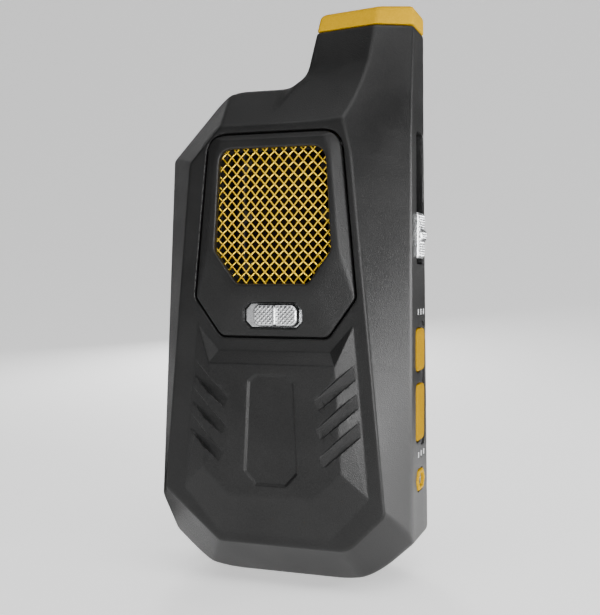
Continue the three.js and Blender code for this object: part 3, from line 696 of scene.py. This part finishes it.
WELL = rounded(offset(DOOR_OUTLINE, DOOR_GAP + 2), DOOR_RADII)
DOORWAY = rounded(offset(DOOR_OUTLINE, DOOR_GAP), DOOR_RADII)
CHAMBER_MOUTH = rounded(rectangle(-16.4, 16.4, 77.4, 115.2), 2)
HOOK_POCKET = ((-7.2, 3.6), (2.0, 6.4), (68.4, 73.2))


def cut_doorway(p, base):
    """Thickens the shell round the doorway and cuts the door's seat, the openings and the hinge."""
    x, y, z = p
    well = both(both(polygon(x, z, WELL), slab(y, 1.1, WELL_BACK), 0.4), casing(p) + 0.1)
    solid = either(base, well, 0.4)
    doorway = both(polygon(x, z, DOORWAY), y - WELL_FLOOR, 0.3)
    doorway = either(doorway, both(polygon(x, z, CHAMBER_MOUTH), 2.0 - y, 0.2), 0.2)
    doorway = either(doorway, block(p, HOOK_POCKET), 0.1)
    solid = without(solid, doorway, 0.35)
    span = both(slab(x, -TURNING_HALF, TURNING_HALF), TURNING_LIP - y, 0.1)
    turning = both(rod(y - HINGE_Y, z - HINGE_Z, TURNING_RADIUS), span, 0.1)
    bore = both(rod(y - HINGE_Y, z - HINGE_Z, PIN_BORE), slab(x, -PIN_END, PIN_END))
    return without(solid, np.minimum(turning, bore), 0.05)


SLOT = rounded(
    rectangle(SLOT_Y - SLOT_WIDTH / 2, SLOT_Y + SLOT_WIDTH / 2, SLOT_BOTTOM, SLOT_TOP), 1.5)


def key_outline(name, grow):
    """A key's outline, made larger all round by so much."""
    bottom, top = KEYS[name]
    half = KEY_WIDTH / 2 + grow
    return rounded(rectangle(KEY_Y - half, KEY_Y + half, bottom - grow, top + grow), 2.0 + grow)


def eyelet_outline(shrink):
    """The eyelet's six-sided outline, made smaller all round by so much."""
    y, z, a, b = EYELET
    a, b = a - shrink, b - shrink
    return rounded([
        (y - a, z), (y - a * 0.6, z - b), (y + a * 0.6, z - b),
        (y + a, z), (y + a * 0.6, z + b), (y - a * 0.6, z + b)], 0.5)


# A shallow step runs behind both keys.
STRIP_DEPTH = 0.6
KEY_STRIP = rounded([
    (24.2, 36.6), (25.4, 35.2), (28.6, 35.2), (29.9, 36.6),
    (29.9, 67.2), (28.6, 68.6), (25.4, 68.6), (24.2, 67.2),
], 0.4)


def cut_side(p, base):
    """Cuts the slot, the key holes, the light slits, the eyelet's hole and the step by the keys."""
    x, y, z = p
    outlines = [SLOT, eyelet_outline(-GAP)] + [key_outline(name, GAP) for name in KEYS]
    half_y, half_z = SLIT_HALF
    for slit_z in SLIT_ZS:
        for slit_y in SLIT_YS:
            slit = rectangle(slit_y - half_y, slit_y + half_y, slit_z - half_z, slit_z + half_z)
            outlines.append(rounded(slit, 0.2))
    holes = None
    for outline in outlines:
        hole = polygon(y, z, outline)
        holes = hole if holes is None else np.minimum(holes, hole)
    strip = both(polygon(y, z, KEY_STRIP), right_wall(z) - STRIP_DEPTH - x, 0.1)
    solid = without(base, strip, 0.12)
    return without(solid, both(holes, 28 - x, 0), 0.3)


def cut_charging_port(p, base):
    """Cuts the round-ended hole for the charging socket."""
    y, z = CHARGE
    hole = polygon(p[1], p[2], rounded(rectangle(y - 1.9, y + 1.9, z - 4.9, z + 4.9), 1.8))
    return without(base, both(hole, p[0] + 28, 0), 0.35)


def screw_post(x, z):
    """A change that adds a post inside the shell, bored for the rear screw at x and z."""
    def change(p, base):
        across = rod(p[0] - x, p[2] - z, 2.6)
        behind = both(seam(p) + POST_SHORT, 1.0 - p[1])
        solid = either(base, both(across, behind, 0.3), 0.6)
        return without(solid, both(rod(p[0] - x, p[2] - z, 1.25), 20 - p[1]), 0.2)
    return change


def front_shell(p):
    """The casing's hollow front half."""
    outer = casing(p)
    hollow = both(outer + WALL, p[2] - STUB_TOP + 1.6, 0.5)
    solid = without(outer, hollow, 0.5)
    for x, z in SCREW_POSTS:
        inner = within(p, (x - 3.4, 0.8, z - 3.4), (x + 3.4, 40, z + 3.4), solid, screw_post(x, z))
        solid = np.maximum(inner, outer)
    # Each change is worked out only in the box that holds it.
    solid = within(p, (-27, -4, 10), (27, 1.1, 71), solid, add_mesa)
    solid = within(p, (-26, -1, 61), (26, 10, 121), solid, cut_doorway)
    solid = within(p, (28.2, 14, 20), (36, 32, 121), solid, cut_side)
    solid = within(p, (-36, 19, 38), (-29, 27, 54), solid, cut_charging_port)
    return both(both(solid, seam(p), 0.4), p[2] - STUB_TOP, 0.5)


skin("front_shell", front_shell, [
    ticks((-35, -29, 0.4), (-29, -26, 0.5), (-26, 26, 0.24), (26, 30, 0.45), (30, 34.5, 0.28)),
    ticks((-2.9, 0.5, 0.2), (0.5, 3.4, 0.3), (3.4, 18, 0.7), (18, 30, 0.35), (30, 34.4, 0.5)),
    ticks((-0.9, 10, 0.5), (10, 71, 0.24), (71, 120, 0.34), (120, 146, 0.5)),
], "housing", "casing", CASING, keep=0.22)


def rear_cover(p):
    """The casing's back half: a plate with a lip inside the shell and a seat for each screw."""
    outer = casing(p)
    face = (seam(p) - REAR_DEPTH) / math.hypot(1, SEAM_LEAN)
    solid = both(both(outer, face, 3.2), GAP - seam(p), 0.3)
    lip = both(both(outer + 2.8, -(outer + 4.0), 0.1), both(-1.0 - seam(p), seam(p) - 0.9), 0.2)
    solid = both(either(solid, lip, 0.2), p[2] - STUB_TOP, 0.5)
    for x, z in SCREW_POSTS:
        back = post_end(z)
        across = (p[0] - x, p[2] - z)
        boss = both(rod(*across, 3.1), slab(p[1], back + GAP, back + 2.2), 0.3)
        near = without(solid, both(rod(*across, 3.4), slab(p[1], back - 3, back + GAP)), 0.1)
        near = either(near, boss, 0.2)
        near = without(near, rod(*across, 1.3), 0.1)
        solid = without(near, both(rod(*across, 2.8), back + SCREW_FLOOR - p[1]), 0.3)
    return solid


skin("rear_cover", rear_cover, [
    ticks((-35, 34.5, 0.5)), ticks((26.5, 37.2, 0.4)), ticks((-0.9, 146, 0.5)),
], "housing", "rear", REAR, keep=0.15)


def antenna_cap(p):
    """The stub's cap, which carries on the casing's own form."""
    solid = both(both(casing(p), seam(p) - 1.4, 1.6), p[2] - CAP_TOP, 1.8)
    return both(solid, STUB_TOP + GAP - p[2], 0.4)


skin("antenna_cap", antenna_cap, even((5, 8, STUB_TOP), (33, 30, CAP_TOP), 0.3),
     "housing", "accent", ACCENT)


def screw_at(x, z):
    """A cross-head screw's shape and grid, in its seat in the rear cover."""
    seat = post_end(z) + SCREW_FLOOR + GAP

    def screw(p):
        u, v = p[0] - x, p[2] - z
        head = both(rod(u, v, 2.5), slab(p[1], seat, seat + 1.3), 0.7)
        solid = either(head, both(rod(u, v, 0.95), slab(p[1], seat - 8, seat + 0.2), 0.3), 0.2)
        cross = both(np.minimum(
            both(slab(u, -1.4, 1.4), slab(v, -0.3, 0.3)),
            both(slab(v, -1.4, 1.4), slab(u, -0.3, 0.3))), seat + 0.6 - p[1])
        return without(solid, cross, 0.1)
    return screw, even((x - 2.6, seat - 8.2, z - 2.6), (x + 2.6, seat + 1.4, z + 2.6), 0.16)


for number, (screw_x, screw_z) in enumerate(SCREW_POSTS, 1):
    skin(f"rear_screw_{number}", *screw_at(screw_x, screw_z), "housing", "steel", STEEL)


# ---- door

DOOR_BLOCK = hull_planes(
    [(x, 0, z) for x, z in DOOR_OUTLINE] + [(x, DOOR_BACK, z) for x, z in DOOR_OUTLINE]
    + [(x, -DOOR_PROUD, z) for x, z in DOOR_FACE])
DOOR_EDGE = rounded(DOOR_OUTLINE, DOOR_RADII)
OPENING = rounded(MESH_OPENING, MESH_RADII)
REBATE = rounded(offset(MESH_OPENING, 1.4), MESH_RADII)
LATCH_FLOOR = 0.7


def door_frame(p):
    """The door: a faceted frame with the mesh's opening and the latch's recess."""
    x, y, z = p
    solid = both(convex(p, DOOR_BLOCK, 0.3), polygon(x, z, DOOR_EDGE), 0.4)
    opening = polygon(x, z, OPENING)
    solid = without(solid, opening, 0.6)
    solid = without(solid, both(polygon(x, z, REBATE), 0.2 - y), 0.1)
    recess = both(polygon(x, z, LATCH_RECESS), y - LATCH_FLOOR, 0.2)
    solid = without(solid, recess, 0.35)
    solid = without(solid, block(p, ((-5.2, 2.8), (-1, 4), (LATCH_Z - 1.3, LATCH_Z + 1.3)), 0.2), 0.1)
    bore = both(rod(y - HINGE_Y, z - HINGE_Z, DOOR_BORE), DOOR_BORE_FROM - np.abs(x))
    return without(solid, bore, 0.1)


skin("door_frame", door_frame, even((-21.8, -1.7, 65), (21.8, 2.5, 117), 0.24),
     "door", "casing", CASING, keep=0.2)


def mesh_retainer(p):
    """The ring behind the mesh's edge that holds it in the door."""
    ring = without(
        polygon(p[0], p[2], rounded(offset(MESH_OPENING, 1.1), MESH_RADII)),
        polygon(p[0], p[2], rounded(offset(MESH_OPENING, -0.6), MESH_RADII)))
    return both(ring, slab(p[1], 1.4, DOOR_BACK), 0.3)


skin("mesh_retainer", mesh_retainer, even((-17, 1.3, 77), (17, 2.5, 115), 0.3), "door", "dark", DARK)

WIRE_RADIUS = 0.2
CELL_WIDE = 2.6  # one diamond of the weave
CELL_HIGH = 2.8
WEAVE_MIDDLE = (0.0, 95.7)  # x, z
WEAVE_Y = 0.8
WIRE_SIDES = 8
WIRES_EACH_WAY = 16  # on each side of the middle wire
WIRE_REACH = 20  # half a wire's length before it is cut, in crossings
WIRE_STEP = 0.125


def woven_mesh():
    """Round wires on two diagonals, each over one crossing wire and under the next."""
    edge = rounded(offset(MESH_OPENING, 1.0), MESH_RADII)
    points, faces = [], []
    for hand in (1, -1):
        along = np.array((hand * CELL_WIDE / 2, CELL_HIGH / 2))
        across = np.array((-hand * CELL_WIDE / 2, CELL_HIGH / 2))
        for wire in range(-WIRES_EACH_WAY, WIRES_EACH_WAY + 1):
            t = np.arange(-WIRE_REACH, WIRE_REACH, WIRE_STEP)
            flat = np.array(WEAVE_MIDDLE) + wire * across + t[:, None] * along
            held = polygon(flat[:, 0], flat[:, 1], edge) < 0
            if held.sum() < 8:
                continue
            t, flat = t[held], flat[held]
            wave = hand * np.cos(np.pi * (t + wire)) * WIRE_RADIUS * 1.02
            path = np.stack([flat[:, 0], WEAVE_Y + wave, flat[:, 1]], 1)
            tangent = np.gradient(path, axis=0)
            tangent /= np.linalg.norm(tangent, axis=1, keepdims=True)
            side = np.cross(tangent, (0, 1, 0))
            side /= np.linalg.norm(side, axis=1, keepdims=True)
            out = np.cross(side, tangent)
            first = len(points)
            for k in range(len(path)):
                for j in range(WIRE_SIDES):
                    angle = 2 * math.pi * j / WIRE_SIDES
                    spoke = math.cos(angle) * side[k] + math.sin(angle) * out[k]
                    points.append(path[k] + WIRE_RADIUS * spoke)
            for k in range(len(path) - 1):
                for j in range(WIRE_SIDES):
                    a = first + k * WIRE_SIDES + j
                    b = first + k * WIRE_SIDES + (j + 1) % WIRE_SIDES
                    faces.append((a, a + WIRE_SIDES, b + WIRE_SIDES, b))
            last = first + (len(path) - 1) * WIRE_SIDES
            faces.append(tuple(range(first, first + WIRE_SIDES)))
            faces.append(tuple(range(last + WIRE_SIDES - 1, last - 1, -1)))
    obj = new_object("woven_mesh", points, faces)
    obj.data.validate()
    obj.data.polygons.foreach_set("use_smooth", [True] * len(obj.data.polygons))
    return obj


place(woven_mesh(), "door", "mesh", WIRE, "door_mesh")


def knurl(u, v, pitch):
    """Relief of a diamond knurl: 0 in its grooves and 1 on its points."""
    a = np.abs(((u + v) / pitch) % 1 - 0.5) * 2
    b = np.abs(((u - v) / pitch) % 1 - 0.5) * 2
    return np.minimum(a, b)


LATCH_X = 0.9
LATCH_BLOCK = hull_planes([(LATCH_X + x, y, LATCH_Z + z) for x, y, z in mirrored([
    (6.3, 0.4, 1.8), (6.3, 0.4, -1.8), (5.1, 0.4, 3.0), (5.1, 0.4, -3.0),
    (5.8, -1.6, 1.6), (5.8, -1.6, -1.6), (4.8, -1.6, 2.6), (4.8, -1.6, -2.6),
])])


def latch_button(p):
    """The latch's plated button: two knurled pads, a rib between them and a tongue behind."""
    x, y, z = p
    solid = convex(p, LATCH_BLOCK, 0.4)
    face = -y - 1.55 - 0.28 * knurl(x - LATCH_X, z - LATCH_Z, 1.15)
    shell = convex((x, y * 0 - 0.6, z), LATCH_BLOCK, 0.2)
    pad = both(both(face, shell + 0.45, 0.25), y - 0.3)
    solid = either(solid, pad, 0.1)
    rib = block(p, ((0.45, 1.35), (-2.45, 0.3), (LATCH_Z - 2.5, LATCH_Z + 2.4)), 0.5)
    tongue = block(p, ((-1.6, 2.4), (0.2, 2.9), (LATCH_Z - 0.9, LATCH_Z + 0.9)), 0.2)
    return either(either(solid, rib, 0.2), tongue, 0.1)


skin("latch_button", latch_button, even((-5.5, -2.5, 67.5), (7.3, 2.9, 73.7), 0.14),
     "latch", "silver", SILVER, angle=50)


def latch_bed(p):
    """The plated bed under the button, with a slot for its tongue."""
    x, y, z = p
    plate = both(polygon(x, z, offset(LATCH_RECESS, -0.25)), slab(y, 0.42, LATCH_FLOOR), 0.1)
    return without(plate, block(p, ((-5.3, 2.9), (-1, 4), (LATCH_Z - 1.4, LATCH_Z + 1.4)), 0.2), 0.1)


place(
    moulded("latch_bed", latch_bed, even((-7.7, 0.4, 67.4), (7.7, 0.8, 73.8), 0.1), keep=0.2),
    "door", "silver", SILVER)


# ---- side controls

SLIDE_HALF = SLOT_WIDTH / 2 - GAP
# The knob's sections from its back outwards: x, and how much smaller each is in y and in z.
KNOB_SECTIONS = [(30.9, 0, 0), (33.1, 0, 0.2), (33.6, 0.7, 1.2)]
KNOB_BLOCK = hull_planes([
    (x, SLOT_Y + hand * (SLIDE_HALF - narrower), z)
    for x, narrower, shorter in KNOB_SECTIONS
    for hand in (-1, 1)
    for z in (KNOB_BOTTOM + shorter, KNOB_TOP - shorter)])
KNOB_MIDDLE = (KNOB_BOTTOM + KNOB_TOP) / 2
KNOB_BUMP = hull_planes([
    (x, SLOT_Y + half_y * u, KNOB_MIDDLE + half_z * v)
    for x, half_y, half_z in ((33.2, 3.1, 1.9), (34.3, 2.6, 0.7))
    for u in (-1, 1)
    for v in (-1, 1)])


def slide_knob(p):
    """The slide's knurled knob, with a raised grip across it and a stem into the slot."""
    x, y, z = p
    relief = 0.35 * knurl(y - SLOT_Y, z - KNOB_MIDDLE, 1.3)
    solid = both(convex(p, KNOB_BLOCK, 0.4), x - 33.25 - relief, 0.1)
    bump = both(convex(p, KNOB_BUMP, 0.4), x - 34.0 - relief, 0.1)
    solid = either(solid, bump, 0.3)
    stem = block(p, ((29.0, 31.1), (SLOT_Y - 1.2, SLOT_Y + 1.2), (KNOB_BOTTOM + 3, KNOB_TOP - 3)), 0.2)
    return either(solid, stem, 0.1)


skin("slide_knob", slide_knob,
     even((29, SLOT_Y - 3.8, KNOB_BOTTOM), (34.4, SLOT_Y + 3.8, KNOB_TOP), 0.16),
     "slider", "silver", SILVER, angle=50)


DOT_PITCH = 1.15


def side_key(name):
    """A key's shape and grid: a cushion with rows of dots, and a flange behind the wall."""
    bottom, top = KEYS[name]
    middle = (bottom + top) / 2
    outline = key_outline(name, 0)
    crown = key_outline(name, -0.8)
    flange = key_outline(name, 1.0)

    def key(p):
        x, y, z = p
        across = np.cos(2 * math.pi * (y - KEY_Y) / DOT_PITCH)
        along = np.cos(2 * math.pi * (z - middle) / DOT_PITCH)
        dots = np.maximum(across * along, 0)
        solid = both(polygon(y, z, outline), slab(x, 29.6, SIDE_RIGHT + 0.62), 0.5)
        top_pad = both(polygon(y, z, crown), slab(x, 30, SIDE_RIGHT + 0.68 + 0.12 * dots), 0.2)
        solid = either(solid, top_pad, 0.2)
        solid = either(solid, both(polygon(y, z, flange), slab(x, 28.9, 29.7), 0.2), 0.2)
        return either(solid, both(rod(y - KEY_Y, z - middle, 1.4), slab(x, 28.4, 29.2), 0.2), 0.1)
    return key, even((28.4, KEY_Y - 6.2, bottom - 1), (33.6, KEY_Y + 6.2, top + 1), 0.22)


for key_name, body in (("key_upper", "upper_key"), ("key_lower", "lower_key")):
    skin(key_name, *side_key(key_name), body, "accent", KEY)


def lanyard_bezel(p):
    """The eyelet's six-sided rim."""
    x, y, z = p
    solid = both(polygon(y, z, eyelet_outline(0)), slab(x, 27.6, SIDE_RIGHT + 1.0), 0.7)
    return without(solid, polygon(y, z, eyelet_outline(EYELET_RIM)), 0.4)


skin("lanyard_bezel", lanyard_bezel, in_wall(27.5, 33.5, EYELET, 4.7, 2.7, 0.2),
     "housing", "accent", ACCENT)


def eyelet_cup(p):
    """A steel cup inside the eyelet, open towards the right."""
    x, y, z = p
    solid = both(polygon(y, z, eyelet_outline(EYELET_RIM)), slab(x, 28.4, SIDE_RIGHT + 0.1), 0.1)
    return without(solid, both(polygon(y, z, eyelet_outline(1.35)), 28.9 - x, 0.1), 0.1)


place(
    moulded("eyelet_cup", eyelet_cup, in_wall(28.3, 32.8, EYELET, 3.5, 1.9, 0.14)),
    "housing", "steel", STEEL)


def lanyard_bar(p):
    """The pin that stands upright in the eyelet."""
    y, z, _, rise = EYELET
    return both(rod(p[0] - 31.2, p[1] - y, 0.55), slab(p[2], z - rise + 1.3, z + rise - 1.3), 0.1)


skin("lanyard_bar", lanyard_bar, in_wall(30.6, 31.8, EYELET, 0.6, 1.4, 0.12),
     "housing", "steel", STEEL)


def light_guide(slit_z):
    """A guide's shape and grid: a bar inside the wall, with a finger in each slit of its row."""
    def guide(p):
        x, y, z = p
        across = (SLIT_YS[0] - 0.9, SLIT_YS[2] + 0.9)
        bar = block(p, ((27.6, 28.9), across, (slit_z - 1, slit_z + 1)), 0.2)
        for slit_y in SLIT_YS:
            section = rounded(rectangle(slit_y - 0.4, slit_y + 0.4, slit_z - 0.8, slit_z + 0.8), 0.25)
            finger = both(polygon(y, z, section), slab(x, 28.8, right_wall(slit_z) + 0.03), 0.1)
            bar = either(bar, finger, 0.1)
        return bar
    low = (27.5, SLIT_YS[0] - 1, slit_z - 1.1)
    return guide, even(low, (33.2, SLIT_YS[2] + 1, slit_z + 1.1), 0.16)


for guide_name, slit_z in zip(("light_guide_upper", "light_guide_lower"), SLIT_ZS):
    skin(guide_name, *light_guide(slit_z), "housing", "light", LIGHT)


def charge_socket(p):
    """The charging socket: a round-ended steel shell with a flat tongue in it."""
    x, y, z = p[0], p[1] - CHARGE[0], p[2] - CHARGE[1]
    outside = rounded(rectangle(-1.6, 1.6, -4.5, 4.5), 1.5)
    inside = rounded(rectangle(-1.25, 1.25, -4.15, 4.15), 1.2)
    shell = both(polygon(y, z, outside), slab(x, -33.0, -25.6), 0.25)
    hollow = both(polygon(y, z, inside), x + 27.4, 0.1)
    tongue = block((x, y, z), ((-32.0, -27.0), (-0.35, 0.35), (-3.3, 3.3)), 0.2)
    return either(without(shell, hollow, 0.15), tongue, 0.1)


skin("charge_socket", charge_socket, in_wall(-33.1, -25.5, CHARGE, 1.7, 4.6, 0.15),
     "housing", "steel", STEEL)


# ---- heated chamber

MAT_HALF = 11
MAT_FRONT = 10.3
MAT_BACK = 12.1
MAT_SPAN = (79.2, 114.0)  # z
CLIP_TABS = (83, 96.5, 110)  # z of each tab's middle


def repellent_mat(p):
    """The soft-edged mat that lies on the heated plate."""
    return block(p, ((-MAT_HALF, MAT_HALF), (MAT_FRONT, MAT_BACK), MAT_SPAN), 0.9)


skin("repellent_mat", repellent_mat,
     even((-MAT_HALF, MAT_FRONT, MAT_SPAN[0]), (MAT_HALF, MAT_BACK, MAT_SPAN[1]), 0.35),
     "housing", "mat", MAT_DARKENED_AS_SHADE)


def mat_clip(side):
    """A clip's shape and grid: a bent strip beside the mat, with tabs that reach in front of it."""
    def clip(p):
        q = (p[0] * side, p[1], p[2])
        solid = either(
            block(q, ((11.6, 15.6), (13.0, 14.1), MAT_SPAN), 0.3),
            block(q, ((11.6, 12.6), (9.4, 13.4), MAT_SPAN), 0.3), 0.8)
        for z in CLIP_TABS:
            solid = either(solid, block(q, ((9.6, 12.2), (9.4, 10.0), (z - 1.6, z + 1.6)), 0.3), 0.5)
        return solid
    low, high = sorted((9.4 * side, 15.8 * side))
    return clip, even((low, 9.2, 79.0), (high, 14.3, 114.2), 0.24)


for side_name, side in (("left", -1), ("right", 1)):
    skin(f"mat_clip_{side_name}", *mat_clip(side), "housing", "steel", BLACK_STEEL)


# ---- carried-over CAD nodes

CARRIED = [
    (BLACK_STEEL, ["hinge_pin_left", "hinge_pin_right", "latch_hook", "strike_bar"]),
    (STEEL, ["slide_switch"]),
    (DARK, ["heater_tray", "tact_switch_upper", "tact_switch_lower", "slide_carrier", "slot_liner",
            "battery_cradle", "control_chip", "inductor", "capacitor"]),
    (ALUMINIUM, ["heater_plate"]),
    (BOARD, ["side_board", "main_board", "charge_board"]),
    (CELL, ["battery_cell_left", "battery_cell_right"]),
]
for finish, names in CARRIED:
    for name in names:
        for slot in bpy.data.objects[name].material_slots:
            slot.material = finish


# ---- studio

CAMERA_AT = (88.2, -233.9, 80.0)  # in millimetres in the maker's frame
LOOK = Vector((-0.32708, 0.94453, -0.02967))
LENS = 57.37
SENSOR = 36

# The rest of the studio is in metres in the row frame.
# Each softbox is (place, what it points at, size, watts), and each flag is a card's four corners.
SOFTBOXES = {
    "front_right": ((0.30, -0.44, 0.070), (0, 0, 0.058), (0.22, 0.10), 2.4),
    "side_right": ((0.46, -0.24, 0.055), (0, 0, 0.05), (0.14, 0.07), 0.6),
    "floor_fill": ((0.25, -0.15, 0.45), (0.15, -0.10, 0), (0.3, 0.3), 0.9),
    "overhead": ((0.0, -0.25, 0.8), (0, 0, 0.08), (0.5, 0.5), 2.2),
    "rim_left": ((-0.25, 0.55, 0.24), (0, 0, 0.10), (0.12, 0.25), 1.8),
    "rim_right": ((0.40, 0.26, 0.08), (0, 0, 0.03), (0.12, 0.12), 1.2),
}
FLAGS = {
    "flag_right": [(0.03, 0.24, 0.001), (0.17, 0.20, 0.001), (0.17, 0.20, 0.35), (0.03, 0.24, 0.35)],
    "flag_left": [(-0.28, 0.02, 0.001), (-0.24, 0.13, 0.001), (-0.24, 0.13, 0.3), (-0.28, 0.02, 0.3)],
    "flag_low_left": [
        (-0.26, 0.0, 0.001), (-0.05, 0.0, 0.001), (-0.05, 0.16, 0.001), (-0.26, 0.16, 0.001)],
}
FLOOR_FRONT = -2.5  # y
FLOOR_HALF = 3.0
BEND_FROM = 0.3  # y where the floor starts to curve up
BEND_RADIUS = 1.6
BEND_STEPS = 32
WALL_TOP = 3.0

camera = bpy.data.cameras.new("camera")
camera.lens = LENS
camera.sensor_width = SENSOR
camera.clip_start = 0.01
view = bpy.data.objects.new("camera", camera)
view.location = Vector(CAMERA_AT) * MM + Vector(ORIGIN)
view.rotation_mode = "QUATERNION"
view.rotation_quaternion = LOOK.to_track_quat("-Z", "Y")
bpy.context.scene.collection.objects.link(view)
bpy.context.scene.camera = view


def softbox(name, at, towards, size, power):
    """A rectangular light that the camera doesn't see."""
    light = bpy.data.lights.new(name, "AREA")
    light.shape = "RECTANGLE"
    light.size, light.size_y = size
    light.energy = power
    obj = bpy.data.objects.new(name, light)
    obj.location = at
    obj.rotation_mode = "QUATERNION"
    obj.rotation_quaternion = (Vector(towards) - Vector(at)).to_track_quat("-Z", "Y")
    obj.visible_camera = False
    bpy.context.scene.collection.objects.link(obj)


for box_name, setting in SOFTBOXES.items():
    softbox(box_name, *setting)

world = bpy.data.worlds.new("studio")
bpy.context.scene.world = world
world.use_nodes = True
background = world.node_tree.nodes["Background"]
background.inputs["Color"].default_value = (1, 1, 1, 1)
background.inputs["Strength"].default_value = 0.16


def backdrop_material(name, shade, rough, specular):
    """A plain grey material and its shader."""
    material, _, shader = new_material(name)
    shader.inputs["Base Color"].default_value = (shade, shade, shade, 1)
    shader.inputs["Roughness"].default_value = rough
    shader.inputs["Specular IOR Level"].default_value = specular
    return material, shader


floor_material, floor_shader = backdrop_material("floor_paint", 0.85, 0.7, 0.2)
floor_shader.inputs["Emission Color"].default_value = (1, 1, 1, 1)
floor_shader.inputs["Emission Strength"].default_value = 0.65
flag_material, _ = backdrop_material("flag_cloth", 0.01, 1.0, 0.0)


def stage_object(name, points, faces, material):
    """An object that isn't part of the unit, from points in metres."""
    mesh = bpy.data.meshes.new(name)
    mesh.from_pydata(points, [], faces)
    mesh.materials.append(material)
    obj = bpy.data.objects.new(name, mesh)
    bpy.context.scene.collection.objects.link(obj)
    return obj


def sweep():
    """A floor that curves up into a wall behind the object."""
    profile = [(FLOOR_FRONT, 0.0), (BEND_FROM, 0.0)]
    for k in range(1, BEND_STEPS + 1):
        angle = math.pi / 2 * k / BEND_STEPS
        back = BEND_FROM + BEND_RADIUS * math.sin(angle)
        profile.append((back, BEND_RADIUS - BEND_RADIUS * math.cos(angle)))
    profile.append((BEND_FROM + BEND_RADIUS, WALL_TOP))
    points = [(x, y, z) for y, z in profile for x in (-FLOOR_HALF, FLOOR_HALF)]
    faces = [(2 * i, 2 * i + 1, 2 * i + 3, 2 * i + 2) for i in range(len(profile) - 1)]
    obj = stage_object("floor", points, faces, floor_material)
    obj.data.polygons.foreach_set("use_smooth", [True] * len(faces))
    return obj


def flag(name, corners):
    """A black card, seen only in reflections, that keeps the walls turned towards it dark."""
    obj = stage_object(name, corners, [(0, 1, 2, 3)], flag_material)
    obj.visible_camera = False
    obj.visible_diffuse = False
    obj.visible_shadow = False
    return obj


sweep()
for flag_name, corners in FLAGS.items():
    flag(flag_name, corners)
